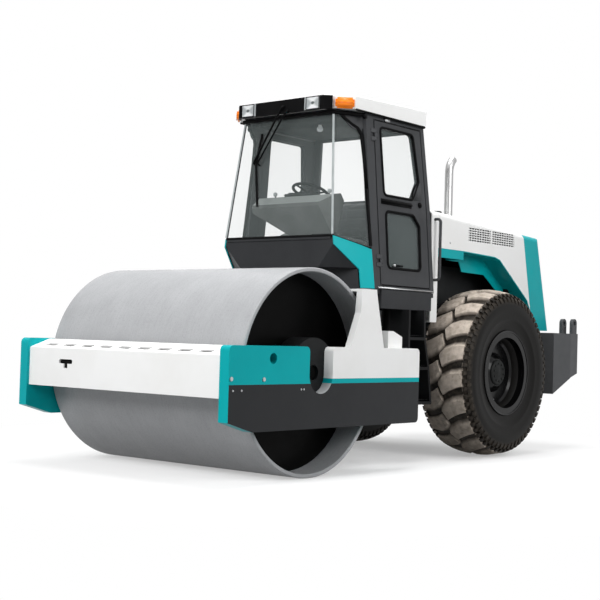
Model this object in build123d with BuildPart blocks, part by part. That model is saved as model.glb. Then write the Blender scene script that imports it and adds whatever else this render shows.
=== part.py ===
from build123d import *

import os
from math import atan2, cos, radians, sin, tan

os.makedirs("parts", exist_ok=True)

# Single-drum road roller, hinged at its middle. Millimetres, +X forward, +Y left, +Z up,
# with the origin on the ground under the middle of the whole machine.

# Drum and wheels
DRUM_X = 1742
DRUM_RADIUS = 810
DRUM_WIDTH = 2130
DRUM_SHELL = 32
DRUM_RECESS = 230
DRUM_DISC = 25
DRUM_HUB_RADIUS = 130
DRUM_HUB_LENGTH = 45
DRUM_SHAFT_RADIUS = 60
WHEELBASE = 2930
TYRE_RADIUS = 795
TYRE_WIDTH = 560
TREAD_WIDTH = 450
BEAD_RADIUS = 350
TRACK = 1630
RIM_WIDTH = 500
RIM_FLANGE_RADIUS = 395
RIM_WALL = 14
RIM_DISC_INSET = 150
HUB_RADIUS = 130
SPINDLE_RADIUS = 70
RUNNING_GAP = 0.05

REAR_AXLE_X = DRUM_X - WHEELBASE
PIVOT_X = (DRUM_X + REAR_AXLE_X) / 2

# Front frame
PLATE_OUTER_Y = 1169
PLATE_THICKNESS = 90
PLATE_FRONT_X = 2786
PLATE_REAR_X = 438
PLATE_TOP_Z = 1011
PLATE_BOTTOM_Z = 390
PLATE_NOSE_Z = 465
PLATE_NOSE_LENGTH = 262
PLATE_CORNER = 40
NOTCH_WIDTH = 284
NOTCH_FLOOR_Z = 653
NOTCH_OFFSET = 12
TIE_HOLE_RADIUS = 40
TIE_HOLE_X = 2314
TIE_HOLE_Z = 920
BEAM_FRONT_X = 2762
BEAM_BACK_X = 2569
BEAM_BOTTOM_Z = 630
BEAM_FRONT_TOP_Z = 937
BEAM_BACK_TOP_Z = 1007
BEAM_WALL = 14
CROSS_FRONT_X = 905
CROSS_REAR_X = 825
CROSS_BOTTOM_Z = 450
CROSS_TOP_Z = 940
SHOULDER_Y = 640
NOSE_BASE_X = 640
NOSE_BASE_Y = 420
NOSE_BACK = 205
NOSE_HALF_WIDTH = 290
LUG_THICKNESS = 50
LUG_RADIUS = 110
HITCH_BOTTOM_Z = 500
HITCH_TOP_Z = 930
HITCH_PIN_RADIUS = 45
LUG_GAP = 6
SLOT_COUNT = 9
SLOT_PITCH = 217
SLOT_SIZE = (133, 50)
SLOT_CENTRE_X = 2692
SLOT_FIRST_Y = -880
KEYHOLE_Y = -627
KEYHOLE_Z = 832
KEYHOLE_SIZE = (160, 34)
KEYHOLE_STEM = (46, 52)
CARRIER_RADIUS = 270
POST_OUTLINE = (
    (1392, PLATE_TOP_Z),
    (1274, 1286),
    (1256, 1480),
    (1068, 1480),
    (1051, 1398),
    (951, PLATE_TOP_Z),
)
POST_THICKNESS = 60
POST_CAP_INNER_Y = 880
POST_CAP_FRONT_X = 1232
POST_CAP_THICKNESS = 20
BRACKET_PLAN = ((571, 1000), (771, 1000), (771, 1079), (571, 1079))
BRACKET_FRONT_Z = 1152
BRACKET_REAR_Z = 1105
BRACKET_FLAT = 70

PLATE_INNER_Y = PLATE_OUTER_Y - PLATE_THICKNESS

# Rear frame
RAIL_Y = 345
RAIL_THICKNESS = 30
RAIL_FRONT_X = -60
RAIL_REAR_X = -2220
RAIL_BOTTOM_Z = 560
RAIL_TOP_Z = 1000
WALL_X = -300
TONGUE_HALF_WIDTH = 110
DECK_FRONT_X = 420
DECK_HALF_WIDTH = 440
DECK_THICKNESS = 25
MOUNT_RADIUS = 55
MOUNT_XS = (-190, 340)
MOUNT_Y = 370
CLEVIS_PLATE = 20
CLEVIS_GAP = 6
AXLE_RADIUS = 105
DIFF_RADIUS = 205
HUB_FACE_Y = 640

# Steering cylinders
CYL_REAR_REACH = 520
CYL_REAR_Y = 250
CYL_FRONT_REACH = 45
CYL_FRONT_Y = 220
CYL_Z = 715
CYL_BARREL_RADIUS = 46
CYL_ROD_RADIUS = 22
CYL_BARREL_LENGTH = 376
CYL_ROD_LENGTH = 364
EYE_RADIUS = 40
EYE_BORE = 20
EYE_THICKNESS = 56

# Cab
CAB_REAR_X = -340
CAB_TOP_REAR_X = -292
REAR_KNEE_Z = 2283
PILLAR_WIDTH = 60
DOOR_FRONT_X = 478
HINGE_X = 484
PILLAR_FRONT_X = 592
SILL_Z = 1511
HEAD_Z = 3045
SILL_HALF_WIDTH = 778
HEAD_HALF_WIDTH = 645
WALL_THICKNESS = 50
BASE_BOTTOM_Z = 1349
BASE_FRONT_X = 488
BASE_HALF_WIDTH = 792
FLOOR_THICKNESS = 40
SHEET = 20
SCREEN_BOTTOM = (965, 608, 1948)
SCREEN_TOP = (864, 505, 3020)
CHIN_BOTTOM_X = 945
CHIN_BOTTOM_HALF_WIDTH = 452
CHIN_BOTTOM_Z = 1683
CHIN_SIDE_X = 730
CHIN_WALL = 30
GLASS = 6
REAR_WINDOW = (2400, 2990)
REAR_WINDOW_MARGIN = 110
REAR_WALL = 35
SIDE_GLASS_REAR_Z = 1862
SIDE_GLASS_TOP_Z = 3016
NOSE_TOP_Z = 1944
NOSE_SIDE_SHEET = 12
CHIN_LIP = (11, 26)
GUSSET_CENTRE = (645, 3010)
GUSSET_RADIUS = 122
GUSSET_SHEET = 12
GUSSET_OVERLAP = 8
HEADER_DEPTH = 23
HEADER_WIDTH = 45
CORNER_STRIP_RADIUS = 9
ROOF_BOTTOM_Z = 3045
ROOF_FRONT_Z = 3160
ROOF_REAR_Z = 3200
ROOF_FRONT_X = 962
ROOF_NOSE_HALF_WIDTH = 472
ROOF_SHOULDER_X = 770
ROOF_HALF_WIDTH = 668
ROOF_REAR_X = -302
FASCIA_DEPTH = 26
FASCIA_WRAP = 0.27
FASCIA_BOTTOM_Z = 3030
FASCIA_TOP_Z = 3148
LAMP_SIZE = (24, 166, 112)
LAMP_PROUD = 4
LAMP_Y = 366
MARKER_SIZE = (118, 80, 42)
MARKER_ALONG = 0.60
SEAT_GAP = 0.3

# Doors
DOOR_GAP = 7
DOOR_THICKNESS = 45
DOOR_BOTTOM_Z = 1552
DOOR_TOP_Z = 3000
HINGE_STAND_OFF = 16
HINGE_RADIUS = 11
HINGE_PIN = 6
HINGE_LEAF = (46, 5)
HINGE_KNUCKLE = 34
HINGE_END_GAP = 1
HINGE_ZS = (1760, 2860)
WINDOW_CORNER = 42
UPPER_WINDOW = ((393, 2945), (-110, 2945), (-172, 2520), (-60, 2345), (376, 2345))
LOWER_WINDOW = ((360, 2205), (-60, 2205), (-150, 2110), (-140, 1705), (364, 1705))

# Inside the cab
DASH_YS = (-460, 410)
DASH_CORNER = ((-90, 1990), (-460, 2190))
DASH_BEVEL = 90
DASH_FRONT_X = 805
DASH_TOP_Z = 2350
PEDESTAL_HALF_WIDTH = 180
WHEEL_CENTRE = (560, 0, 2395)
WHEEL_RING_RADIUS = 185
WHEEL_TUBE = 14
WHEEL_TILT = 20

SEAT_HALF_WIDTH = 240

# Steps and grab rails
STEP_ZS = (535, 844, 1108)
STEP_REAR_XS = (-222, -172, -104)
STEP_INNER_Y = 660
STEP_OUTER_Y = 862
STRINGER = 28
STEP_FRONT_X = 139
STEP_THICKNESS = 26
RAIL_BAR = 13
GRAB_X = -392
GRAB_Y = 800
GRAB_ZS = (1640, 2200)

# Hood, engine and ballast
HOOD_HALF_WIDTH = 736
HOOD_FRONT_X = -463
HOOD_FRONT_TOP_Z = 2283
HOOD_SEAM_TOP = (-2018, 2198)
HOOD_SEAM_BOTTOM = (-2195, 1426)
HOOD_REAR_TOP = (-2345, 2181)
HOOD_REAR_BOTTOM = (-2610, 1218)
HOOD_TAIL_FRONT_BOTTOM = (-2310, 1218)
HOOD_SHEET = 8
HOOD_EDGE_RADIUS = 55
ARCH_EDGE = ((-1474, 1926), (-1571, 1903), (-2128, 1527))
ARCH_FRONT = (-888, 1943)
SKIRT_BOTTOM_Z = 1857
LINER_Y = 540
LINER_LINE = (ARCH_FRONT, *ARCH_EDGE, HOOD_SEAM_BOTTOM)
LINER_SHIFT = (3, -8)
INNER_EDGE = ((-1774, 1634), (-1575, 1755), (-1165, 1761), (-1110, SKIRT_BOTTOM_Z))
GRILLE_XS = (-962, -1400, -1853)
GRILLE_ZS = (2050, 2176)
GRILLE_ROWS = 6
GRILLE_SLOT = 13
GRILLE_POST = 30
TAIL_GRILLE_ROWS = 11
TAIL_GRILLE_SIZE = (430, 16)
TAIL_GRILLE_PITCH = 42
TAIL_GRILLE_Y = 250
TAIL_GRILLE_RISE = 560
EXHAUST = (-1277, 300)
EXHAUST_RADIUS = 42
HOOD_HINGE = (-2580, 1245)
HINGE_BRACKET_Y = 400
HINGE_PIN_RADIUS = 10
EXHAUST_STRAIGHT_Z = 2770
EXHAUST_OUTLET = (-1340, 300, 2905)
EXHAUST_WALL = 3
BULKHEAD_SIDE_Z = 1250
BULKHEAD_FOOT_Y = 360
BULKHEAD_SHEET = 12
BULKHEAD_FRONT_X = -350
BULKHEAD_REAR_X = -457
ENGINE_SIZE = (900, 700, 820)
ENGINE_X = -1400
BALLAST_FRONT_X = -2220
BALLAST_REAR_X = -2786
BALLAST_HALF_WIDTH = 1004
BALLAST_TOP_Z = 1195
BALLAST_FRONT_BOTTOM_Z = 573
BALLAST_KNEE = (-2609, 739)
BALLAST_REAR_BOTTOM_Z = 779
BALLAST_CORNER = (204, 24)
EAR_X = -2713
EAR_YS = (842, 962)
EAR_THICKNESS = 34
EAR_RADIUS = 48
EAR_BORE = 24
EAR_HEIGHT = 132

lean = atan2(SILL_HALF_WIDTH - HEAD_HALF_WIDTH, HEAD_Z - SILL_Z)
wheel_axis = Axis((REAR_AXLE_X, 0, TYRE_RADIUS), (0, 1, 0))
drum_axis = Axis((DRUM_X, 0, DRUM_RADIUS), (0, 1, 0))
wheel_y = TRACK / 2
wall_foot_z = SILL_Z + WALL_THICKNESS * sin(lean)
inner_wall = WALL_THICKNESS / cos(lean)


def wall_y(z):
    """Half width of the leaning cab wall at height z."""
    return SILL_HALF_WIDTH - (z - SILL_Z) * sin(lean) / cos(lean)


def wall_plane(inset=0):
    """Plane on the left cab wall, pointing outwards, with local x running rearwards."""
    outward = Vector(0, cos(lean), sin(lean))
    start = Vector(0, SILL_HALF_WIDTH, SILL_Z) - outward * inset
    return Plane(origin=start, x_dir=(-1, 0, 0), z_dir=outward)


def on_wall(x, z):
    """Local coordinates of the wall point at x and height z."""
    return (-x, (z - SILL_Z) / cos(lean))


def rear_edge_x(z, inset=0):
    """X of the cab's rear edge at height z, moved forward by inset: it leans above its knee."""
    share = max(0, z - REAR_KNEE_Z) / (HEAD_Z - REAR_KNEE_Z)
    return CAB_REAR_X + share * (CAB_TOP_REAR_X - CAB_REAR_X) + inset


def hinge_plane(z, start):
    """Plane across the left door's hinge axis at height z, moved along the axis by start."""
    wall = wall_plane(-HINGE_STAND_OFF)
    x, y = on_wall(HINGE_X, z)
    origin = wall.from_local_coords(Vector(x, y + start, 0))
    return Plane(origin=origin, x_dir=(1, 0, 0), z_dir=wall.y_dir)


def plane_through(a, b, c):
    """Plane with its origin at a, its x towards b and c on its positive side."""
    along, across = Vector(*b) - Vector(*a), Vector(*c) - Vector(*a)
    return Plane(origin=a, x_dir=along, z_dir=along.cross(across))


def side_glass_y(x, z):
    """Y of the plane that holds the left quarter glass and the nose side below it."""
    normal = side_plane.z_dir
    start = side_plane.origin
    return start.Y - (normal.X * (x - start.X) + normal.Z * (z - start.Z)) / normal.Y


def local(plane, point):
    """Local x and y of a point that lies on a plane."""
    place = plane.to_local_coords(Vector(*point))
    return (place.X, place.Y)


def on_side(x, z):
    """Local coordinates on the side glass plane of the point at x and height z."""
    return local(side_plane, (x, side_glass_y(x, z), z))


side_plane = plane_through(
    (SCREEN_BOTTOM[0] - 12, SCREEN_BOTTOM[1] + 8, SCREEN_BOTTOM[2]),
    (PILLAR_FRONT_X + 4, wall_y(SIDE_GLASS_REAR_Z) - 8, SIDE_GLASS_REAR_Z),
    (SCREEN_TOP[0] - 12, SCREEN_TOP[1] + 8, SCREEN_TOP[2]),
)

side_out = 1 if side_plane.z_dir.Y > 0 else -1
rear_lean = plane_through(
    (CAB_REAR_X, 0, REAR_KNEE_Z), (CAB_REAR_X, 1, REAR_KNEE_Z), (CAB_TOP_REAR_X, 0, HEAD_Z)
)


def door_outline(gap=0):
    """Corners of the door, or of its opening where gap is the running gap, on the left wall."""
    bottom, top = DOOR_BOTTOM_Z - gap, DOOR_TOP_Z + gap
    corners = [(DOOR_FRONT_X + gap, bottom), (DOOR_FRONT_X + gap, top)]
    corners += [(rear_edge_x(z, PILLAR_WIDTH) - gap, z) for z in (top, REAR_KNEE_Z, bottom)]
    return [on_wall(x, z) for x, z in corners]


def rear_outline(wall, heights, margin):
    """Four corners between two heights on the rear wall, each margin in from the side walls."""
    low, high = heights
    corners = [(-1, low), (1, low), (1, high), (-1, high)]
    return [local(wall, (rear_edge_x(z), side * (wall_y(z) - margin), z)) for side, z in corners]


# Drum: a rolled shell with a deep recess at each end, and end discs with stub shafts

with BuildPart() as drum_shell:
    with BuildSketch(Plane.XZ.offset(-DRUM_WIDTH / 2)):
        with Locations((DRUM_X, DRUM_RADIUS)):
            Circle(DRUM_RADIUS)
            Circle(DRUM_RADIUS - DRUM_SHELL, mode=Mode.SUBTRACT)
    extrude(amount=DRUM_WIDTH)
    chamfer(drum_shell.edges().filter_by(GeomType.CIRCLE), 6)
drum_shell.part.label = "drum_shell"
export_step(drum_shell.part, "parts/drum_shell.step")

disc_y = DRUM_WIDTH / 2 - DRUM_RECESS
shaft_end_y = PLATE_INNER_Y - 20

with BuildPart() as drum_ends:
    with BuildSketch(Plane.YZ.offset(DRUM_X)):
        with BuildLine():
            Polyline(
                (disc_y - DRUM_DISC, DRUM_RADIUS),
                (disc_y - DRUM_DISC, DRUM_RADIUS + DRUM_RADIUS - DRUM_SHELL),
                (disc_y, DRUM_RADIUS + DRUM_RADIUS - DRUM_SHELL),
                (disc_y, DRUM_RADIUS + DRUM_HUB_RADIUS),
                (disc_y + DRUM_HUB_LENGTH, DRUM_RADIUS + DRUM_HUB_RADIUS),
                (disc_y + DRUM_HUB_LENGTH, DRUM_RADIUS + DRUM_SHAFT_RADIUS),
                (shaft_end_y, DRUM_RADIUS + DRUM_SHAFT_RADIUS),
                (shaft_end_y, DRUM_RADIUS),
                close=True,
            )
        make_face()
    revolve(axis=drum_axis)
    mirror(about=Plane.XZ)
drum_ends.part.label = "drum_ends"
export_step(drum_ends.part, "parts/drum_ends.step")

# Front frame: two side plates, a front beam, a rear cross member with the hitch nose

notch_x = DRUM_X + NOTCH_OFFSET

with BuildPart() as side_plate_left:
    with BuildSketch(Plane.XZ.offset(-PLATE_OUTER_Y)) as plate_outline:
        with BuildLine():
            Polyline(
                (PLATE_REAR_X, PLATE_BOTTOM_Z),
                (PLATE_FRONT_X - PLATE_NOSE_LENGTH, PLATE_BOTTOM_Z),
                (PLATE_FRONT_X, PLATE_NOSE_Z),
                (PLATE_FRONT_X, PLATE_TOP_Z),
                (PLATE_REAR_X, PLATE_TOP_Z),
                close=True,
            )
        make_face()
        with Locations((notch_x, NOTCH_FLOOR_Z + NOTCH_WIDTH / 2)):
            Circle(NOTCH_WIDTH / 2, mode=Mode.SUBTRACT)
            with Locations((0, PLATE_TOP_Z / 2)):
                Rectangle(NOTCH_WIDTH, PLATE_TOP_Z, mode=Mode.SUBTRACT)
        with Locations((TIE_HOLE_X, TIE_HOLE_Z)):
            Circle(TIE_HOLE_RADIUS, mode=Mode.SUBTRACT)
        corners = plate_outline.vertices().filter_by_position(
            Axis.Y, PLATE_TOP_Z - 1, PLATE_TOP_Z + 1
        )
        rear_bottom = plate_outline.vertices().sort_by(Axis.X)[:2].sort_by(Axis.Y)[0]
        fillet([*corners, rear_bottom], PLATE_CORNER)
    extrude(amount=PLATE_THICKNESS)
side_plate_left.part.label = "side_plate_left"
export_step(side_plate_left.part, "parts/side_plate_left.step")

with BuildPart() as side_plate_right:
    mirror(side_plate_left.part, about=Plane.XZ)
side_plate_right.part.label = "side_plate_right"
export_step(side_plate_right.part, "parts/side_plate_right.step")

beam_fall = (BEAM_BACK_TOP_Z - BEAM_FRONT_TOP_Z) / (BEAM_FRONT_X - BEAM_BACK_X)
slot_z = BEAM_FRONT_TOP_Z + beam_fall * (BEAM_FRONT_X - SLOT_CENTRE_X)
beam_slope = plane_through(
    (SLOT_CENTRE_X, 0, slot_z),
    (BEAM_FRONT_X, 0, BEAM_FRONT_TOP_Z),
    (SLOT_CENTRE_X, 1, slot_z),
)

with BuildPart() as front_beam:
    with BuildSketch(Plane.XZ.offset(-PLATE_INNER_Y)):
        with BuildLine():
            Polyline(
                (BEAM_BACK_X, BEAM_BOTTOM_Z),
                (BEAM_FRONT_X, BEAM_BOTTOM_Z),
                (BEAM_FRONT_X, BEAM_FRONT_TOP_Z),
                (BEAM_BACK_X, BEAM_BACK_TOP_Z),
                close=True,
            )
        make_face()
        offset(amount=-BEAM_WALL, mode=Mode.SUBTRACT)
    extrude(amount=2 * PLATE_INNER_Y)
    with BuildSketch(beam_slope):
        with Locations(*[(0, SLOT_FIRST_Y + step * SLOT_PITCH) for step in range(SLOT_COUNT)]):
            RectangleRounded(SLOT_SIZE[1], SLOT_SIZE[0], SLOT_SIZE[1] / 4)
    extrude(amount=-2 * BEAM_WALL, mode=Mode.SUBTRACT)
    with BuildSketch(Plane.YZ.offset(BEAM_FRONT_X)):
        with Locations((KEYHOLE_Y, KEYHOLE_Z)):
            RectangleRounded(*KEYHOLE_SIZE, KEYHOLE_SIZE[1] / 3)
            Rectangle(*KEYHOLE_STEM, align=(Align.CENTER, Align.MAX))
    extrude(amount=-2 * BEAM_WALL, mode=Mode.SUBTRACT)
front_beam.part.label = "front_beam"
export_step(front_beam.part, "parts/front_beam.step")

lug_ear_x = PIVOT_X + CYL_FRONT_REACH

with BuildPart() as rear_crossmember:
    with BuildSketch(Plane.XY.offset(CROSS_BOTTOM_Z)):
        with BuildLine():
            Polyline(
                (CROSS_FRONT_X, -PLATE_INNER_Y),
                (CROSS_FRONT_X, PLATE_INNER_Y),
                (CROSS_REAR_X, PLATE_INNER_Y),
                (CROSS_REAR_X, SHOULDER_Y),
                (NOSE_BASE_X, NOSE_BASE_Y),
                (PIVOT_X + NOSE_BACK, NOSE_HALF_WIDTH),
                (PIVOT_X + NOSE_BACK, -NOSE_HALF_WIDTH),
                (NOSE_BASE_X, -NOSE_BASE_Y),
                (CROSS_REAR_X, -SHOULDER_Y),
                (CROSS_REAR_X, -PLATE_INNER_Y),
                close=True,
            )
        make_face()
    extrude(amount=CROSS_TOP_Z - CROSS_BOTTOM_Z)
    for lug_z in (HITCH_BOTTOM_Z, HITCH_TOP_Z - LUG_THICKNESS):
        with BuildSketch(Plane.XY.offset(lug_z)):
            with Locations((PIVOT_X, 0)):
                Circle(LUG_RADIUS)
            with Locations((lug_ear_x, CYL_FRONT_Y), (lug_ear_x, -CYL_FRONT_Y)):
                Circle(EYE_RADIUS + 15)
            with Locations((PIVOT_X + NOSE_BACK + 5, 0)):
                Rectangle(10, 2 * NOSE_HALF_WIDTH)
            make_hull()
        extrude(amount=LUG_THICKNESS)
    with Locations((PIVOT_X, 0, HITCH_TOP_Z)):
        Hole(HITCH_PIN_RADIUS, depth=2 * HITCH_TOP_Z)
rear_crossmember.part.label = "rear_crossmember"
export_step(rear_crossmember.part, "parts/rear_crossmember.step")

with BuildPart() as hitch_pin:
    with BuildSketch(Plane.XY.offset(HITCH_BOTTOM_Z)):
        with Locations((PIVOT_X, 0)):
            Circle(HITCH_PIN_RADIUS)
    extrude(amount=HITCH_TOP_Z - HITCH_BOTTOM_Z)
    with BuildSketch(Plane.XY.offset(HITCH_TOP_Z)):
        with Locations((PIVOT_X, 0)):
            Circle(HITCH_PIN_RADIUS + 20)
    extrude(amount=18)
hitch_pin.part.label = "hitch_pin"
export_step(hitch_pin.part, "parts/hitch_pin.step")

carrier_inner_y = disc_y + DRUM_HUB_LENGTH + 12

with BuildPart() as drum_carriers:
    with BuildSketch(Plane.XZ.offset(-PLATE_INNER_Y)):
        with Locations((DRUM_X, DRUM_RADIUS)):
            Circle(CARRIER_RADIUS)
            Circle(DRUM_SHAFT_RADIUS + RUNNING_GAP, mode=Mode.SUBTRACT)
    extrude(amount=PLATE_INNER_Y - carrier_inner_y)
    mirror(about=Plane.XZ)
drum_carriers.part.label = "drum_carriers"
export_step(drum_carriers.part, "parts/drum_carriers.step")

with BuildPart() as frame_posts:
    with BuildSketch(Plane.XZ.offset(-PLATE_OUTER_Y)):
        with BuildLine():
            Polyline(*POST_OUTLINE, close=True)
        make_face()
    extrude(amount=POST_THICKNESS)
    with BuildSketch(Plane.XY.offset(POST_OUTLINE[3][1] - POST_CAP_THICKNESS)):
        with Locations(((POST_OUTLINE[3][0] + POST_CAP_FRONT_X) / 2, POST_CAP_INNER_Y)):
            Rectangle(
                POST_CAP_FRONT_X - POST_OUTLINE[3][0],
                PLATE_OUTER_Y - POST_THICKNESS - POST_CAP_INNER_Y,
                align=(Align.CENTER, Align.MIN),
            )
    extrude(amount=POST_CAP_THICKNESS)
    with BuildSketch(Plane.XZ.offset(-BRACKET_PLAN[2][1])):
        with BuildLine():
            Polyline(
                (BRACKET_PLAN[0][0], CROSS_TOP_Z),
                (BRACKET_PLAN[1][0], CROSS_TOP_Z),
                (BRACKET_PLAN[1][0], BRACKET_FRONT_Z),
                (BRACKET_PLAN[1][0] - BRACKET_FLAT, BRACKET_FRONT_Z),
                (BRACKET_PLAN[0][0], BRACKET_REAR_Z),
                close=True,
            )
        make_face()
    extrude(amount=BRACKET_PLAN[2][1] - BRACKET_PLAN[0][1])
    mirror(about=Plane.XZ)
frame_posts.part.label = "frame_posts"
export_step(frame_posts.part, "parts/frame_posts.step")

# Rear wheels: dished rims and plain tyres

rim_out, rim_in = wheel_y + RIM_WIDTH / 2, wheel_y - RIM_WIDTH / 2
dish_y = rim_out - RIM_DISC_INSET
seat_r = TYRE_RADIUS + BEAD_RADIUS
well_r = TYRE_RADIUS + BEAD_RADIUS - 50
hub_inner_y = HUB_FACE_Y + 12
hub_outer_y = dish_y + 45

with BuildPart() as rim_left:
    with BuildSketch(Plane.YZ.offset(REAR_AXLE_X)):
        with BuildLine():
            Polyline(
                (rim_in, TYRE_RADIUS + RIM_FLANGE_RADIUS),
                (rim_in + 18, TYRE_RADIUS + RIM_FLANGE_RADIUS),
                (rim_in + 18, seat_r),
                (rim_in + 90, seat_r - 8),
                (rim_in + 130, well_r),
                (rim_out - 130, well_r),
                (rim_out - 90, seat_r - 8),
                (rim_out - 18, seat_r),
                (rim_out - 18, TYRE_RADIUS + RIM_FLANGE_RADIUS),
                (rim_out, TYRE_RADIUS + RIM_FLANGE_RADIUS),
                (rim_out, seat_r - RIM_WALL),
                (rim_out - 96, seat_r - 8 - RIM_WALL),
                (dish_y + 8, well_r - RIM_WALL),
                (dish_y, TYRE_RADIUS + HUB_RADIUS + 60),
                (hub_outer_y, TYRE_RADIUS + HUB_RADIUS),
                (hub_outer_y, TYRE_RADIUS + SPINDLE_RADIUS + RUNNING_GAP),
                (hub_inner_y, TYRE_RADIUS + SPINDLE_RADIUS + RUNNING_GAP),
                (hub_inner_y, TYRE_RADIUS + HUB_RADIUS),
                (dish_y - 40, TYRE_RADIUS + HUB_RADIUS),
                (dish_y - 24, well_r - RIM_WALL),
                (rim_in + 124, well_r - RIM_WALL),
                (rim_in + 84, seat_r - 8 - RIM_WALL),
                (rim_in, seat_r - RIM_WALL),
                close=True,
            )
        make_face()
    revolve(axis=wheel_axis)
rim_left.part.label = "rim_left"
export_step(rim_left.part, "parts/rim_left.step")

with BuildPart() as rim_right:
    mirror(rim_left.part, about=Plane.XZ)
rim_right.part.label = "rim_right"
export_step(rim_right.part, "parts/rim_right.step")

crown_r = TYRE_RADIUS * 2
half_tread, half_tyre = TREAD_WIDTH / 2, TYRE_WIDTH / 2

with BuildPart() as tyre_left:
    with BuildSketch(Plane.YZ.offset(REAR_AXLE_X)):
        with BuildLine():
            Line((rim_in + 18, seat_r), (rim_in + 18, seat_r + 70))
            Spline(
                (rim_in + 18, seat_r + 70),
                (wheel_y - half_tyre, TYRE_RADIUS + 0.72 * TYRE_RADIUS),
                (wheel_y - half_tread, crown_r - 34),
            )
            ThreePointArc(
                (wheel_y - half_tread, crown_r - 34),
                (wheel_y, crown_r),
                (wheel_y + half_tread, crown_r - 34),
            )
            Spline(
                (wheel_y + half_tread, crown_r - 34),
                (wheel_y + half_tyre, TYRE_RADIUS + 0.72 * TYRE_RADIUS),
                (rim_out - 18, seat_r + 70),
            )
            Line((rim_out - 18, seat_r + 70), (rim_out - 18, seat_r))
            Polyline(
                (rim_out - 18, seat_r),
                (rim_out - 90, seat_r - 8),
                (rim_out - 130, well_r),
                (rim_in + 130, well_r),
                (rim_in + 90, seat_r - 8),
                (rim_in + 18, seat_r),
            )
        make_face()
    revolve(axis=wheel_axis)
tyre_left.part.label = "tyre_left"
export_step(tyre_left.part, "parts/tyre_left.step")

with BuildPart() as tyre_right:
    mirror(tyre_left.part, about=Plane.XZ)
tyre_right.part.label = "tyre_right"
export_step(tyre_right.part, "parts/tyre_right.step")

# Rear frame, axle, engine and ballast

rail_outer_y = RAIL_Y + RAIL_THICKNESS / 2
rail_inner_y = RAIL_Y - RAIL_THICKNESS / 2
tongue_bottom = HITCH_BOTTOM_Z + LUG_THICKNESS + LUG_GAP
tongue_top = HITCH_TOP_Z - LUG_THICKNESS - LUG_GAP

with BuildPart() as rear_chassis:
    with BuildSketch(Plane.XZ.offset(-rail_outer_y)):
        with BuildLine():
            Polyline(
                (RAIL_REAR_X, RAIL_BOTTOM_Z + 80),
                (RAIL_REAR_X + 250, RAIL_BOTTOM_Z),
                (WALL_X, RAIL_BOTTOM_Z),
                (RAIL_FRONT_X, RAIL_TOP_Z - 200),
                (RAIL_FRONT_X, RAIL_TOP_Z),
                (RAIL_REAR_X, RAIL_TOP_Z),
                close=True,
            )
        make_face()
        with Locations((REAR_AXLE_X, TYRE_RADIUS)):
            Circle(AXLE_RADIUS, mode=Mode.SUBTRACT)
    extrude(amount=RAIL_THICKNESS)
    mirror(about=Plane.XZ)
    for wall_x in (WALL_X, REAR_AXLE_X + 330, REAR_AXLE_X - 430, RAIL_REAR_X + 30):
        with BuildSketch(Plane.YZ.offset(wall_x)):
            with BuildLine():
                Polyline(
                    (-rail_inner_y, RAIL_BOTTOM_Z + 90),
                    (rail_inner_y, RAIL_BOTTOM_Z + 90),
                    (rail_inner_y, RAIL_TOP_Z),
                    (-rail_inner_y, RAIL_TOP_Z),
                    close=True,
                )
            make_face()
        extrude(amount=-RAIL_THICKNESS)
    with BuildSketch(Plane.XY.offset(tongue_bottom)):
        with Locations(((PIVOT_X + WALL_X) / 2, 0)):
            Rectangle(PIVOT_X - WALL_X, 2 * TONGUE_HALF_WIDTH)
        with Locations((PIVOT_X, 0)):
            Circle(TONGUE_HALF_WIDTH)
            Circle(HITCH_PIN_RADIUS + RUNNING_GAP, mode=Mode.SUBTRACT)
    extrude(amount=tongue_top - tongue_bottom)
    with BuildSketch(Plane.XY.offset(RAIL_TOP_Z)):
        with Locations((DECK_FRONT_X, 0)):
            Rectangle(
                DECK_FRONT_X - WALL_X + 60,
                2 * DECK_HALF_WIDTH,
                align=(Align.MAX, Align.CENTER),
            )
    extrude(amount=DECK_THICKNESS)
    with BuildSketch(Plane.XY.offset(RAIL_TOP_Z + DECK_THICKNESS)):
        with Locations(*[(x, side * MOUNT_Y) for x in MOUNT_XS for side in (-1, 1)]):
            Circle(MOUNT_RADIUS)
    extrude(amount=SILL_Z - FLOOR_THICKNESS - RAIL_TOP_Z - DECK_THICKNESS)
    clevis_z = EYE_THICKNESS / 2 + CLEVIS_GAP
    for plate_z in (CYL_Z - clevis_z - CLEVIS_PLATE, CYL_Z + clevis_z):
        with BuildSketch(Plane.XY.offset(plate_z)):
            for side in (-1, 1):
                with Locations((PIVOT_X - CYL_REAR_REACH, side * CYL_REAR_Y)):
                    Circle(EYE_RADIUS)
                    Rectangle(
                        PIVOT_X - CYL_REAR_REACH - WALL_X,
                        2 * EYE_RADIUS,
                        align=(Align.MAX, Align.CENTER),
                    )
        extrude(amount=CLEVIS_PLATE)
    with BuildSketch(Plane.XY.offset(CYL_Z - clevis_z - CLEVIS_PLATE)):
        with Locations(*[(PIVOT_X - CYL_REAR_REACH, side * CYL_REAR_Y) for side in (-1, 1)]):
            Circle(EYE_BORE)
    extrude(amount=2 * (clevis_z + CLEVIS_PLATE))
rear_chassis.part.label = "rear_chassis"
export_step(rear_chassis.part, "parts/rear_chassis.step")

axle_end = hub_outer_y - 25

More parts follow.
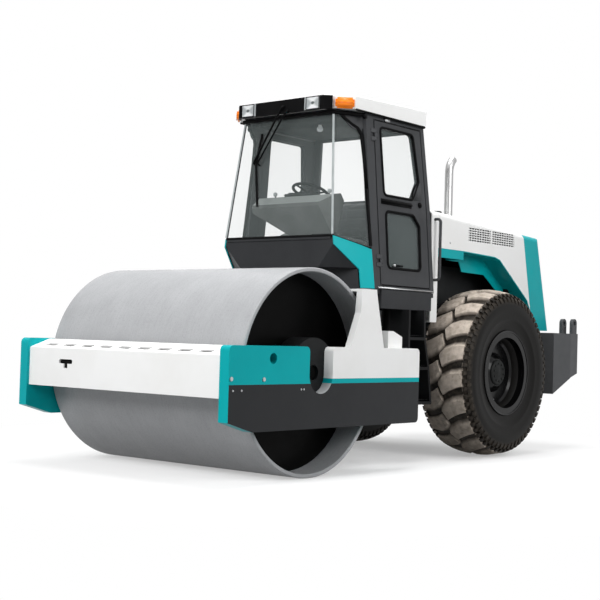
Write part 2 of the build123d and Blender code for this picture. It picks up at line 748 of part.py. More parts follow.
with BuildPart() as rear_axle:
    with BuildSketch(Plane.YZ.offset(REAR_AXLE_X)):
        with BuildLine():
            Polyline(
                (0, TYRE_RADIUS),
                (0, TYRE_RADIUS + DIFF_RADIUS),
                (120, TYRE_RADIUS + DIFF_RADIUS),
                (210, TYRE_RADIUS + AXLE_RADIUS),
                (HUB_FACE_Y, TYRE_RADIUS + AXLE_RADIUS),
                (HUB_FACE_Y, TYRE_RADIUS + SPINDLE_RADIUS),
                (axle_end, TYRE_RADIUS + SPINDLE_RADIUS),
                (axle_end, TYRE_RADIUS),
                close=True,
            )
        make_face()
    revolve(axis=wheel_axis)
    mirror(about=Plane.XZ)
rear_axle.part.label = "rear_axle"
export_step(rear_axle.part, "parts/rear_axle.step")

with BuildPart() as engine:
    with BuildSketch(Plane.XY.offset(RAIL_TOP_Z)):
        with Locations((ENGINE_X, 0)):
            Rectangle(ENGINE_SIZE[0], ENGINE_SIZE[1])
    extrude(amount=ENGINE_SIZE[2])
engine.part.label = "engine"
export_step(engine.part, "parts/engine.step")

with BuildPart() as ballast:
    with BuildSketch(Plane.XZ.offset(-BALLAST_HALF_WIDTH)):
        with BuildLine():
            Polyline(
                (BALLAST_FRONT_X, BALLAST_FRONT_BOTTOM_Z),
                (BALLAST_FRONT_X, BALLAST_TOP_Z),
                (BALLAST_REAR_X, BALLAST_TOP_Z),
                (BALLAST_REAR_X, BALLAST_REAR_BOTTOM_Z),
                BALLAST_KNEE,
                close=True,
            )
        make_face()
    extrude(amount=2 * BALLAST_HALF_WIDTH)
    with BuildSketch():
        with BuildLine():
            Polyline(
                (BALLAST_REAR_X, BALLAST_HALF_WIDTH),
                (BALLAST_REAR_X + BALLAST_CORNER[0], BALLAST_HALF_WIDTH),
                (BALLAST_REAR_X, BALLAST_HALF_WIDTH - BALLAST_CORNER[1]),
                close=True,
            )
        make_face()
        mirror(about=Plane.XZ)
    extrude(amount=BALLAST_TOP_Z, mode=Mode.SUBTRACT)
    for ear_y in EAR_YS:
        with BuildSketch(Plane.XZ.offset(-ear_y - EAR_THICKNESS / 2)):
            with Locations((EAR_X, BALLAST_TOP_Z + EAR_HEIGHT - EAR_RADIUS / 2)):
                Circle(EAR_RADIUS)
                with Locations((0, -EAR_HEIGHT / 2)):
                    Rectangle(2 * EAR_RADIUS, EAR_HEIGHT)
            with Locations((EAR_X, BALLAST_TOP_Z + EAR_HEIGHT - EAR_RADIUS / 2)):
                Circle(EAR_BORE, mode=Mode.SUBTRACT)
        extrude(amount=EAR_THICKNESS)
    with BuildSketch(Plane.XZ.offset(-HINGE_BRACKET_Y - 12)):
        with Locations(HOOD_HINGE):
            Circle(22)
            Rectangle(44, HOOD_HINGE[1] - BALLAST_TOP_Z, align=(Align.CENTER, Align.MAX))
    extrude(amount=24)
    with BuildSketch(Plane.XZ.offset(-HINGE_BRACKET_Y - 34)):
        with Locations(HOOD_HINGE):
            Circle(HINGE_PIN_RADIUS)
    extrude(amount=68)
    mirror(about=Plane.XZ)
ballast.part.label = "ballast"
export_step(ballast.part, "parts/ballast.step")

# Cab: floor, side frames, rear wall, nose, glass, roof

with BuildPart() as cab_floor:
    with BuildSketch(Plane.XY.offset(BASE_BOTTOM_Z)):
        with Locations(((BASE_FRONT_X + (CAB_REAR_X + PILLAR_WIDTH)) / 2, 0)):
            Rectangle(BASE_FRONT_X - (CAB_REAR_X + PILLAR_WIDTH), 2 * BASE_HALF_WIDTH)
            offset(amount=-SHEET, mode=Mode.SUBTRACT)
    extrude(amount=SILL_Z - BASE_BOTTOM_Z)
    with BuildSketch(Plane.XY.offset(SILL_Z - FLOOR_THICKNESS)):
        with Locations(((CHIN_SIDE_X + CAB_REAR_X) / 2, 0)):
            Rectangle(CHIN_SIDE_X - CAB_REAR_X, 2 * (SILL_HALF_WIDTH - 6))
    extrude(amount=FLOOR_THICKNESS)
cab_floor.part.label = "cab_floor"
export_step(cab_floor.part, "parts/cab_floor.step")

with BuildPart() as cab_frame:
    with BuildSketch(wall_plane()):
        with BuildLine():
            Polyline(
                on_wall(CAB_REAR_X, wall_foot_z),
                on_wall(PILLAR_FRONT_X, wall_foot_z),
                on_wall(PILLAR_FRONT_X, HEAD_Z),
                on_wall(CAB_TOP_REAR_X, HEAD_Z),
                on_wall(CAB_REAR_X, REAR_KNEE_Z),
                close=True,
            )
        make_face()
        with BuildLine():
            Polyline(
                *door_outline(DOOR_GAP),
                close=True,
            )
        make_face(mode=Mode.SUBTRACT)
    extrude(amount=-WALL_THICKNESS)
    with BuildSketch(side_plane):
        with Locations(on_side(*GUSSET_CENTRE)):
            Circle(GUSSET_RADIUS)
        with BuildLine():
            Polyline(
                on_side(PILLAR_FRONT_X - GUSSET_OVERLAP, GUSSET_CENTRE[1] - GUSSET_RADIUS),
                on_side(PILLAR_FRONT_X + 2 * GUSSET_RADIUS, GUSSET_CENTRE[1] - GUSSET_RADIUS),
                on_side(PILLAR_FRONT_X + 2 * GUSSET_RADIUS, HEAD_Z - HEADER_DEPTH - SEAT_GAP),
                on_side(PILLAR_FRONT_X - GUSSET_OVERLAP, HEAD_Z - HEADER_DEPTH - SEAT_GAP),
                close=True,
            )
        make_face(mode=Mode.INTERSECT)
    extrude(amount=GUSSET_SHEET * side_out)
    for hinge_z in HINGE_ZS:
        for start in (-HINGE_KNUCKLE * 1.5 - HINGE_END_GAP, HINGE_KNUCKLE / 2 + HINGE_END_GAP):
            with BuildSketch(hinge_plane(hinge_z, start)):
                Circle(HINGE_RADIUS)
                with Locations((HINGE_LEAF[0], -HINGE_STAND_OFF)):
                    Rectangle(HINGE_LEAF[0] / 2, HINGE_LEAF[1], align=(Align.MAX, Align.MIN))
                make_hull()
            extrude(amount=HINGE_KNUCKLE)
        with BuildSketch(hinge_plane(hinge_z, -HINGE_KNUCKLE * 1.5 - HINGE_END_GAP)):
            Circle(HINGE_PIN)
        extrude(amount=3 * HINGE_KNUCKLE + 2 * HINGE_END_GAP)
    mirror(about=Plane.XZ)
    rear_upright = Plane.YZ.offset(CAB_REAR_X)
    for wall, heights in (
        (rear_upright, (SILL_Z, REAR_KNEE_Z)),
        (rear_lean, (REAR_KNEE_Z, HEAD_Z)),
    ):
        with BuildSketch(wall):
            with BuildLine():
                Polyline(*rear_outline(wall, heights, inner_wall), close=True)
            make_face()
        extrude(amount=REAR_WALL)
    with BuildSketch(rear_lean):
        with BuildLine():
            Polyline(*rear_outline(rear_lean, REAR_WINDOW, REAR_WINDOW_MARGIN), close=True)
        make_face()
    extrude(amount=REAR_WALL, mode=Mode.SUBTRACT)
cab_frame.part.label = "cab_frame"
export_step(cab_frame.part, "parts/cab_frame.step")

screen = plane_through(
    (SCREEN_BOTTOM[0], -SCREEN_BOTTOM[1], SCREEN_BOTTOM[2]), SCREEN_BOTTOM, SCREEN_TOP
)

pane_rear_x = PILLAR_FRONT_X + GLASS * abs(side_plane.z_dir.X) + 2 * SEAT_GAP
screen_margin = CORNER_STRIP_RADIUS + 2 * SEAT_GAP

with BuildPart() as cab_glass:
    with BuildSketch(side_plane):
        with BuildLine():
            Polyline(
                on_side(SCREEN_BOTTOM[0] - 12, SCREEN_BOTTOM[2] + 4),
                on_side(pane_rear_x, SIDE_GLASS_REAR_Z),
                on_side(pane_rear_x, SIDE_GLASS_TOP_Z),
                on_side(SCREEN_TOP[0] - 12, SIDE_GLASS_TOP_Z),
                close=True,
            )
        make_face()
    extrude(amount=-GLASS * side_out)
    mirror(about=Plane.XZ)
    with BuildSketch(screen):
        with BuildLine():
            Polyline(
                *[
                    local(screen, (x, side * (y - screen_margin), z))
                    for side, (x, y, z) in (
                        (-1, SCREEN_BOTTOM),
                        (1, SCREEN_BOTTOM),
                        (1, SCREEN_TOP),
                        (-1, SCREEN_TOP),
                    )
                ],
                close=True,
            )
        make_face()
    extrude(amount=-GLASS)
    with BuildSketch(rear_lean.offset(REAR_WALL / 2)):
        with BuildLine():
            Polyline(*rear_outline(rear_lean, REAR_WINDOW, REAR_WINDOW_MARGIN), close=True)
        make_face()
    extrude(amount=GLASS)
cab_glass.part.label = "cab_glass"
export_step(cab_glass.part, "parts/cab_glass.step")

header_y = side_glass_y(PILLAR_FRONT_X, HEAD_Z)

with BuildPart() as screen_frame:
    foot, head = Vector(*SCREEN_BOTTOM), Vector(*SCREEN_TOP)
    with BuildSketch(Plane(origin=foot, z_dir=head - foot)):
        Circle(CORNER_STRIP_RADIUS)
    extrude(amount=(head - foot).length)
    mirror(about=Plane.XZ)
    with BuildSketch(Plane.XY.offset(HEAD_Z - HEADER_DEPTH)):
        with BuildLine():
            Polyline(
                (PILLAR_FRONT_X, -header_y),
                (SCREEN_TOP[0] + 8, -SCREEN_TOP[1] - 8),
                (SCREEN_TOP[0] + 8, SCREEN_TOP[1] + 8),
                (PILLAR_FRONT_X, header_y),
                close=True,
            )
        make_face()
        offset(amount=-HEADER_WIDTH, mode=Mode.SUBTRACT)
    extrude(amount=HEADER_DEPTH)
screen_frame.part.label = "screen_frame"
export_step(screen_frame.part, "parts/screen_frame.step")

# Nose under the windscreen: a dark tub with cut lower corners and painted side sheets

nose_rear_x = PILLAR_FRONT_X
lip_half_width = SCREEN_BOTTOM[1] - CHIN_LIP[0]
facet_edge = (SCREEN_BOTTOM[0], SCREEN_BOTTOM[1], 1872)
facet_foot = (CHIN_BOTTOM_X, CHIN_BOTTOM_HALF_WIDTH, CHIN_BOTTOM_Z)
facet_back = (CHIN_SIDE_X, side_glass_y(CHIN_SIDE_X, CHIN_BOTTOM_Z), CHIN_BOTTOM_Z)
side_normal = side_plane.z_dir if side_plane.z_dir.Y > 0 else -side_plane.z_dir

with BuildPart() as nose_panel:
    with BuildSketch(Plane.XZ.offset(-SILL_HALF_WIDTH)):
        with BuildLine():
            Polyline(
                (SCREEN_BOTTOM[0], NOSE_TOP_Z),
                (CHIN_BOTTOM_X, CHIN_BOTTOM_Z),
                (nose_rear_x, CHIN_BOTTOM_Z),
                (nose_rear_x, SIDE_GLASS_REAR_Z - 8),
                close=True,
            )
        make_face()
    extrude(amount=2 * SILL_HALF_WIDTH)
    facet_normal = (Vector(*facet_foot) - Vector(*facet_edge)).cross(
        Vector(*facet_back) - Vector(*facet_edge)
    )
    if facet_normal.Y < 0:
        facet_normal = -facet_normal
    for flip in (1, -1):
        wall = Plane(
            origin=(side_plane.origin.X, flip * side_plane.origin.Y, side_plane.origin.Z),
            z_dir=(side_normal.X, flip * side_normal.Y, side_normal.Z),
        )
        split(bisect_by=wall, keep=Keep.BOTTOM)
        facet = Plane(
            origin=(facet_edge[0], flip * facet_edge[1], facet_edge[2]),
            z_dir=(facet_normal.X, flip * facet_normal.Y, facet_normal.Z),
        )
        split(bisect_by=facet, keep=Keep.BOTTOM)
    opened = [
        nose_panel.faces().sort_by(Axis.Z)[-1],
        nose_panel.faces().filter_by(Axis.X).sort_by(Axis.X)[0],
    ]
    offset(amount=-CHIN_WALL, openings=opened)
    with BuildSketch(Plane.YZ.offset(CHIN_SIDE_X)):
        with BuildLine():
            Polyline(
                (-side_glass_y(CHIN_SIDE_X, SILL_Z) + NOSE_SIDE_SHEET, SILL_Z),
                (side_glass_y(CHIN_SIDE_X, SILL_Z) - NOSE_SIDE_SHEET, SILL_Z),
                (side_glass_y(CHIN_SIDE_X, CHIN_BOTTOM_Z) - NOSE_SIDE_SHEET, CHIN_BOTTOM_Z),
                (-side_glass_y(CHIN_SIDE_X, CHIN_BOTTOM_Z) + NOSE_SIDE_SHEET, CHIN_BOTTOM_Z),
                close=True,
            )
        make_face()
    extrude(amount=-CHIN_WALL)
    with BuildSketch(Plane.XZ.offset(-lip_half_width)):
        with Locations((SCREEN_BOTTOM[0] + CHIN_LIP[0], NOSE_TOP_Z)):
            Rectangle(2 * CHIN_LIP[0], CHIN_LIP[1], align=(Align.MAX, Align.MAX))
    extrude(amount=2 * lip_half_width)
nose_panel.part.label = "nose_panel"
export_step(nose_panel.part, "parts/nose_panel.step")

with BuildPart() as nose_sides:
    with BuildSketch(side_plane):
        with BuildLine():
            Polyline(
                on_side(SCREEN_BOTTOM[0], NOSE_TOP_Z),
                on_side(nose_rear_x, SIDE_GLASS_REAR_Z - 8),
                on_side(nose_rear_x, SILL_Z),
                on_side(CHIN_SIDE_X, SILL_Z),
                on_side(CHIN_SIDE_X, CHIN_BOTTOM_Z - 15),
                on_side(SCREEN_BOTTOM[0], facet_edge[2]),
                close=True,
            )
        make_face()
    extrude(amount=NOSE_SIDE_SHEET * side_out)
    mirror(about=Plane.XZ)
nose_sides.part.label = "nose_sides"
export_step(nose_sides.part, "parts/nose_sides.step")

# Roof cap, its dark front with the headlamps, and the amber corner lamps

with BuildPart() as cab_roof:
    with BuildSketch(Plane.XY.offset(ROOF_BOTTOM_Z)):
        with BuildLine():
            Polyline(
                (ROOF_FRONT_X, -ROOF_NOSE_HALF_WIDTH),
                (ROOF_FRONT_X, ROOF_NOSE_HALF_WIDTH),
                (ROOF_SHOULDER_X, ROOF_HALF_WIDTH),
                (ROOF_REAR_X, ROOF_HALF_WIDTH),
                (ROOF_REAR_X, -ROOF_HALF_WIDTH),
                (ROOF_SHOULDER_X, -ROOF_HALF_WIDTH),
                close=True,
            )
        make_face()
    extrude(amount=ROOF_REAR_Z - ROOF_BOTTOM_Z)
    top = plane_through(
        (ROOF_FRONT_X, 0, ROOF_FRONT_Z), (ROOF_FRONT_X, 100, ROOF_FRONT_Z), (ROOF_REAR_X, 0, ROOF_REAR_Z)
    )
    split(bisect_by=top, keep=Keep.BOTTOM if top.z_dir.Z > 0 else Keep.TOP)
    fillet(cab_roof.faces().sort_by(Axis.Z)[-1].edges(), 18)
cab_roof.part.label = "cab_roof"
export_step(cab_roof.part, "parts/cab_roof.step")

shoulder = Vector(ROOF_SHOULDER_X, ROOF_HALF_WIDTH) - Vector(ROOF_FRONT_X, ROOF_NOSE_HALF_WIDTH)
shoulder_out = Vector(-shoulder.Y, shoulder.X) * (-1 / shoulder.length)
corner_turn = atan2(-shoulder.X, shoulder.Y) / 2
fascia_x = ROOF_FRONT_X + SEAT_GAP + FASCIA_DEPTH
lamp_z = (FASCIA_BOTTOM_Z + FASCIA_TOP_Z) / 2
wrap_end = Vector(ROOF_FRONT_X, ROOF_NOSE_HALF_WIDTH) + shoulder * FASCIA_WRAP
fascia_half = [
    wrap_end + shoulder_out * (SEAT_GAP + FASCIA_DEPTH),
    Vector(fascia_x, ROOF_NOSE_HALF_WIDTH + (SEAT_GAP + FASCIA_DEPTH) * tan(corner_turn)),
]
fascia_back = [
    Vector(ROOF_FRONT_X + SEAT_GAP, ROOF_NOSE_HALF_WIDTH + SEAT_GAP * tan(corner_turn)),
    wrap_end + shoulder_out * SEAT_GAP,
]

with BuildPart() as roof_fascia:
    with BuildSketch(Plane.XY.offset(FASCIA_BOTTOM_Z)):
        with BuildLine():
            Polyline(
                *[(point.X, -point.Y) for point in fascia_half],
                *[(point.X, point.Y) for point in reversed(fascia_half)],
                *[(point.X, point.Y) for point in reversed(fascia_back)],
                *[(point.X, -point.Y) for point in fascia_back],
                close=True,
            )
        make_face()
    extrude(amount=FASCIA_TOP_Z - FASCIA_BOTTOM_Z)
    with Locations(*[(fascia_x, side * LAMP_Y, lamp_z) for side in (-1, 1)]):
        Box(2 * (LAMP_SIZE[0] - LAMP_PROUD), LAMP_SIZE[1], LAMP_SIZE[2], mode=Mode.SUBTRACT)
roof_fascia.part.label = "roof_fascia"
export_step(roof_fascia.part, "parts/roof_fascia.step")

with BuildPart() as headlamps:
    with Locations(*[(fascia_x + LAMP_PROUD, side * LAMP_Y, lamp_z) for side in (-1, 1)]):
        Box(*LAMP_SIZE, align=(Align.MAX, Align.CENTER, Align.CENTER))
headlamps.part.label = "headlamps"
export_step(headlamps.part, "parts/headlamps.step")

with BuildPart() as marker_lamps:
    place = Vector(ROOF_FRONT_X, ROOF_NOSE_HALF_WIDTH) + shoulder * MARKER_ALONG
    with BuildSketch(
        Plane(
            origin=(place.X, place.Y, (ROOF_BOTTOM_Z + ROOF_FRONT_Z) / 2 - 10),
            x_dir=(shoulder.X, shoulder.Y, 0),
            z_dir=(shoulder_out.X, shoulder_out.Y, 0),
        )
    ):
        RectangleRounded(MARKER_SIZE[0], MARKER_SIZE[1], 16)
    extrude(amount=MARKER_SIZE[2])
    mirror(about=Plane.XZ)
marker_lamps.part.label = "marker_lamps"
export_step(marker_lamps.part, "parts/marker_lamps.step")

# Inside the cab: dashboard, steering wheel and seat

pedestal_z = CHIN_BOTTOM_Z + CHIN_WALL

with BuildPart() as dashboard:
    with BuildSketch(Plane.XZ.offset(-DASH_YS[1])):
        with BuildLine():
            Polyline(
                (DASH_FRONT_X, 2230),
                (800, 2262),
                (705, 2335),
                (610, DASH_TOP_Z),
                (560, 2290),
                (640, 2020),
                (720, 1990),
                close=True,
            )
        make_face()
    extrude(amount=DASH_YS[1] - DASH_YS[0])
    with BuildSketch(Plane.YZ):
        with BuildLine():
            Polyline(*DASH_CORNER, (DASH_CORNER[1][0], DASH_CORNER[0][1]), close=True)
        make_face()
    extrude(amount=DASH_FRONT_X, mode=Mode.SUBTRACT)
    with BuildSketch():
        with BuildLine():
            Polyline(
                (DASH_FRONT_X, DASH_YS[1] - DASH_BEVEL),
                (DASH_FRONT_X, DASH_YS[1]),
                (DASH_FRONT_X - DASH_BEVEL, DASH_YS[1]),
                close=True,
            )
        make_face()
    extrude(amount=DASH_TOP_Z, mode=Mode.SUBTRACT)
    with BuildSketch(Plane.XZ.offset(-PEDESTAL_HALF_WIDTH)):
        with BuildLine():
            Polyline((640, 2020), (720, 1990), (740, pedestal_z), (620, pedestal_z), close=True)
        make_face()
    extrude(amount=2 * PEDESTAL_HALF_WIDTH)
dashboard.part.label = "dashboard"
export_step(dashboard.part, "parts/dashboard.step")

wheel_plane = Plane(origin=WHEEL_CENTRE, z_dir=(-sin(radians(WHEEL_TILT)), 0, cos(radians(WHEEL_TILT))))

with BuildPart() as steering_wheel:
    with BuildSketch(wheel_plane * Plane.XZ):
        with Locations((WHEEL_RING_RADIUS, 0)):
            Circle(WHEEL_TUBE)
    revolve(axis=Axis(WHEEL_CENTRE, wheel_plane.z_dir))
    with BuildSketch(wheel_plane.offset(-10)):
        Circle(45)
        with PolarLocations(WHEEL_RING_RADIUS / 2, 3):
            Rectangle(WHEEL_RING_RADIUS, 26)
    extrude(amount=16)
    with BuildSketch(wheel_plane.offset(-10)):
        Circle(24)
    extrude(until=Until.NEXT, target=dashboard.part, dir=-wheel_plane.z_dir)
steering_wheel.part.label = "steering_wheel"
export_step(steering_wheel.part, "parts/steering_wheel.step")

with BuildPart() as seat:
    with BuildSketch(Plane.XZ.offset(-SEAT_HALF_WIDTH)):
        with BuildLine():
            Polyline(
                (-210, SILL_Z),
                (210, SILL_Z),
                (240, 1880),
                (320, 1900),
                (330, 2010),
                (-40, 1990),
                (-160, 2385),
                (-250, 2370),
                (-200, 1880),
                close=True,
            )
        make_face()
    extrude(amount=2 * SEAT_HALF_WIDTH)
    fillet(seat.edges().filter_by(Axis.Y), 24)
seat.part.label = "seat"
export_step(seat.part, "parts/seat.step")

# Doors: a frame with two windows, hinged along its front edge

with BuildSketch() as upper_window:
    with BuildLine():
        Polyline(*[on_wall(x, z) for x, z in UPPER_WINDOW], close=True)
    make_face()
    fillet(upper_window.vertices(), WINDOW_CORNER)

with BuildSketch() as lower_window:
    with BuildLine():
        Polyline(*[on_wall(x, z) for x, z in LOWER_WINDOW], close=True)
    make_face()
    fillet(lower_window.vertices(), WINDOW_CORNER)

with BuildPart() as door_left:
    with BuildSketch(wall_plane()):
        with BuildLine():
            Polyline(*door_outline(), close=True)
        make_face()
        add(upper_window.sketch, mode=Mode.SUBTRACT)
        add(lower_window.sketch, mode=Mode.SUBTRACT)
    extrude(amount=-DOOR_THICKNESS)
    for hinge_z in HINGE_ZS:
        with BuildSketch(hinge_plane(hinge_z, -HINGE_KNUCKLE / 2)):
            Circle(HINGE_RADIUS)
            with Locations((-HINGE_LEAF[0], -HINGE_STAND_OFF)):
                Rectangle(HINGE_LEAF[0] / 2, HINGE_LEAF[1], align=(Align.MIN, Align.MIN))
            make_hull()
            Circle(HINGE_PIN + RUNNING_GAP, mode=Mode.SUBTRACT)
        extrude(amount=HINGE_KNUCKLE)
door_left.part.label = "door_left"
export_step(door_left.part, "parts/door_left.step")

with BuildPart() as door_right:
    mirror(door_left.part, about=Plane.XZ)
door_right.part.label = "door_right"
export_step(door_right.part, "parts/door_right.step")

with BuildPart() as door_glass_left:
    with BuildSketch(wall_plane(DOOR_THICKNESS / 2)):
        add(upper_window.sketch)
        add(lower_window.sketch)
    extrude(amount=GLASS)
door_glass_left.part.label = "door_glass_left"
export_step(door_glass_left.part, "parts/door_glass_left.step")

with BuildPart() as door_glass_right:
    mirror(door_glass_left.part, about=Plane.XZ)
door_glass_right.part.label = "door_glass_right"
export_step(door_glass_right.part, "parts/door_glass_right.step")

# Steps below the doors and grab rails behind them

with BuildPart() as access_steps:
    with BuildSketch(Plane.XZ.offset(-STEP_OUTER_Y)):
        with BuildLine():
            Polyline(
                (STEP_FRONT_X, STEP_ZS[0]),
                (STEP_FRONT_X + STRINGER, STEP_ZS[0]),
                (STEP_FRONT_X + STRINGER, BASE_BOTTOM_Z),
                (STEP_FRONT_X, BASE_BOTTOM_Z),
                close=True,
            )
        make_face()
        with BuildLine():
            Polyline(
                (STEP_REAR_XS[0], STEP_ZS[0]),
                (STEP_REAR_XS[1], STEP_ZS[1]),
                (STEP_REAR_XS[2], STEP_ZS[2]),
                (STEP_REAR_XS[2] + 10, BASE_BOTTOM_Z),
                (STEP_REAR_XS[2] + 10 + STRINGER, BASE_BOTTOM_Z),
                (STEP_REAR_XS[2] + STRINGER, STEP_ZS[2]),
                (STEP_REAR_XS[1] + STRINGER, STEP_ZS[1]),
                (STEP_REAR_XS[0] + STRINGER, STEP_ZS[0]),
                close=True,
            )
        make_face()
        for step_z, rear_x in zip(STEP_ZS, STEP_REAR_XS):
            with Locations(((rear_x + STEP_FRONT_X + STRINGER) / 2, step_z)):
                Rectangle(
                    STEP_FRONT_X + STRINGER - rear_x,
                    STEP_THICKNESS,
                    align=(Align.CENTER, Align.MAX),
                )
    extrude(amount=STEP_OUTER_Y - STEP_INNER_Y)
    mirror(about=Plane.XZ)
access_steps.part.label = "access_steps"
export_step(access_steps.part, "parts/access_steps.step")

with BuildPart() as grab_rails:
    with BuildLine() as grab_path:
        FilletPolyline(
            (GRAB_X, HOOD_HALF_WIDTH, GRAB_ZS[0]),
            (GRAB_X, GRAB_Y, GRAB_ZS[0]),
            (GRAB_X, GRAB_Y, GRAB_ZS[1]),
            (GRAB_X, HOOD_HALF_WIDTH, GRAB_ZS[1]),
            radius=32,
        )
    with BuildSketch(Plane.XZ.offset(-HOOD_HALF_WIDTH)):
        with Locations((GRAB_X, GRAB_ZS[0])):
            Circle(RAIL_BAR)
    sweep()
    mirror(about=Plane.XZ)
grab_rails.part.label = "grab_rails"
export_step(grab_rails.part, "parts/grab_rails.step")

# Bulkhead between cab and hood: a pan with side flanges

with BuildPart() as bulkhead:
    with BuildSketch(Plane.YZ.offset(BULKHEAD_REAR_X)):
        with BuildLine():
            Polyline(
                (-HOOD_HALF_WIDTH, BULKHEAD_SIDE_Z),
                (-BULKHEAD_FOOT_Y, BULKHEAD_SIDE_Z),
                (-BULKHEAD_FOOT_Y, RAIL_TOP_Z + DECK_THICKNESS),
                (BULKHEAD_FOOT_Y, RAIL_TOP_Z + DECK_THICKNESS),
                (BULKHEAD_FOOT_Y, BULKHEAD_SIDE_Z),
                (HOOD_HALF_WIDTH, BULKHEAD_SIDE_Z),
                (HOOD_HALF_WIDTH, HOOD_FRONT_TOP_Z),
                (-HOOD_HALF_WIDTH, HOOD_FRONT_TOP_Z),
                close=True,
            )
        make_face()
    extrude(amount=BULKHEAD_FRONT_X - BULKHEAD_REAR_X)
    fillet(bulkhead.edges().filter_by(Axis.X).group_by(Axis.Z)[-1], HOOD_EDGE_RADIUS)
    offset(
        amount=-BULKHEAD_SHEET,
        openings=[
            bulkhead.faces().filter_by(Axis.X).sort_by(Axis.X)[-1],
            *bulkhead.faces().filter_by(Axis.Z).group_by(Axis.Z)[0],
        ],
    )
bulkhead.part.label = "bulkhead"
export_step(bulkhead.part, "parts/bulkhead.step")

# Hood: a white shell, a painted tail, wheel arches and the exhaust, all on one rear hinge

seam_slope = (HOOD_SEAM_TOP[0] - HOOD_SEAM_BOTTOM[0]) / (HOOD_SEAM_TOP[1] - HOOD_SEAM_BOTTOM[1])

with BuildPart() as hood_shell:
    with BuildSketch(Plane.YZ.offset(HOOD_FRONT_X)) as hood_front:
        with Locations((0, HOOD_FRONT_TOP_Z)):
            Rectangle(2 * HOOD_HALF_WIDTH, 1100, align=(Align.CENTER, Align.MAX))
        fillet(hood_front.vertices().group_by(Axis.Y)[-1], HOOD_EDGE_RADIUS)
        offset(amount=-HOOD_SHEET, mode=Mode.SUBTRACT)
    run = Vector(HOOD_SEAM_TOP[0] - HOOD_FRONT_X, 0, HOOD_SEAM_TOP[1] - HOOD_FRONT_TOP_Z)
    extrude(amount=run.length * 1.2, dir=run)
    with BuildSketch(Plane.XZ.offset(-HOOD_HALF_WIDTH - 10)):
        with BuildLine():
            Polyline(
                (HOOD_FRONT_X, HOOD_FRONT_TOP_Z + 10),
                (HOOD_FRONT_X, ARCH_FRONT[1]),
                ARCH_FRONT,
                *ARCH_EDGE,
                HOOD_SEAM_BOTTOM,
                (HOOD_SEAM_TOP[0] + 30 * seam_slope, HOOD_SEAM_TOP[1] + 30),
                close=True,
            )
        make_face()
    extrude(amount=2 * HOOD_HALF_WIDTH + 20, mode=Mode.INTERSECT)
    with Locations((*EXHAUST, HOOD_FRONT_TOP_Z)):
        Hole(EXHAUST_RADIUS, depth=200)
    row_step = (GRILLE_ZS[1] - GRILLE_ZS[0] - GRILLE_SLOT) / (GRILLE_ROWS - 1)
    with BuildSketch(Plane.XZ.offset(-HOOD_HALF_WIDTH - 10)):
        for front_x, back_x in zip(GRILLE_XS, GRILLE_XS[1:]):
            with Locations(
                *[
                    ((front_x + back_x) / 2, GRILLE_ZS[0] + GRILLE_SLOT / 2 + row * row_step)
                    for row in range(GRILLE_ROWS)
                ]
            ):
                Rectangle(front_x - back_x - GRILLE_POST, GRILLE_SLOT)
    extrude(amount=2 * HOOD_HALF_WIDTH + 20, mode=Mode.SUBTRACT)
hood_shell.part.label = "hood_shell"
export_step(hood_shell.part, "parts/hood_shell.step")

tail_plane = plane_through(
    (HOOD_REAR_BOTTOM[0], 0, HOOD_REAR_BOTTOM[1]),
    (HOOD_REAR_BOTTOM[0], -1, HOOD_REAR_BOTTOM[1]),
    (HOOD_REAR_TOP[0], 0, HOOD_REAR_TOP[1]),
)

with BuildPart() as hood_tail:
    with BuildSketch(Plane.XZ.offset(-HOOD_HALF_WIDTH)):
        with BuildLine():
            Polyline(
                HOOD_SEAM_TOP,
                HOOD_REAR_TOP,
                HOOD_REAR_BOTTOM,
                HOOD_TAIL_FRONT_BOTTOM,
                HOOD_SEAM_BOTTOM,
                close=True,
            )
        make_face()
    extrude(amount=2 * HOOD_HALF_WIDTH)
    tail_back = hood_tail.faces().sort_by(Axis.X)[0]
    tail_top = hood_tail.faces().sort_by(Axis.Z)[-1]
    side_edges = [
        edge
        for face in (tail_back, tail_top)
        for edge in face.edges()
        if abs(edge.center().Y) > HOOD_HALF_WIDTH - 1
    ]
    fillet(side_edges, HOOD_EDGE_RADIUS)
    opened = [
        face
        for face in hood_tail.faces()
        if face.normal_at(face.center()).Z < -0.2 or face.normal_at(face.center()).X > 0.5
    ]
    offset(amount=-HOOD_SHEET, openings=opened)
    with BuildSketch(tail_plane):
        with Locations((0, TAIL_GRILLE_RISE)):
            with GridLocations(2 * TAIL_GRILLE_Y, TAIL_GRILLE_PITCH, 2, TAIL_GRILLE_ROWS):
                Rectangle(*TAIL_GRILLE_SIZE)
    extrude(amount=-3 * HOOD_SHEET, mode=Mode.SUBTRACT)
    for side in (-1, 1):
        with Locations((HOOD_HINGE[0], side * HINGE_BRACKET_Y, HOOD_HINGE[1])):
            Box(120, 36, 100, mode=Mode.SUBTRACT)
        for lug_y in (-24, 24):
            with BuildSketch(Plane.XZ.offset(-side * HINGE_BRACKET_Y - lug_y - 6)):
                with Locations(HOOD_HINGE):
                    Circle(18)
                with Locations((HOOD_HINGE[0] - 22, HOOD_HINGE[1] + 40)):
                    Rectangle(16, 30)
                make_hull()
                with Locations(HOOD_HINGE):
                    Circle(HINGE_PIN_RADIUS + RUNNING_GAP, mode=Mode.SUBTRACT)
            extrude(amount=12)
hood_tail.part.label = "hood_tail"
export_step(hood_tail.part, "parts/hood_tail.step")

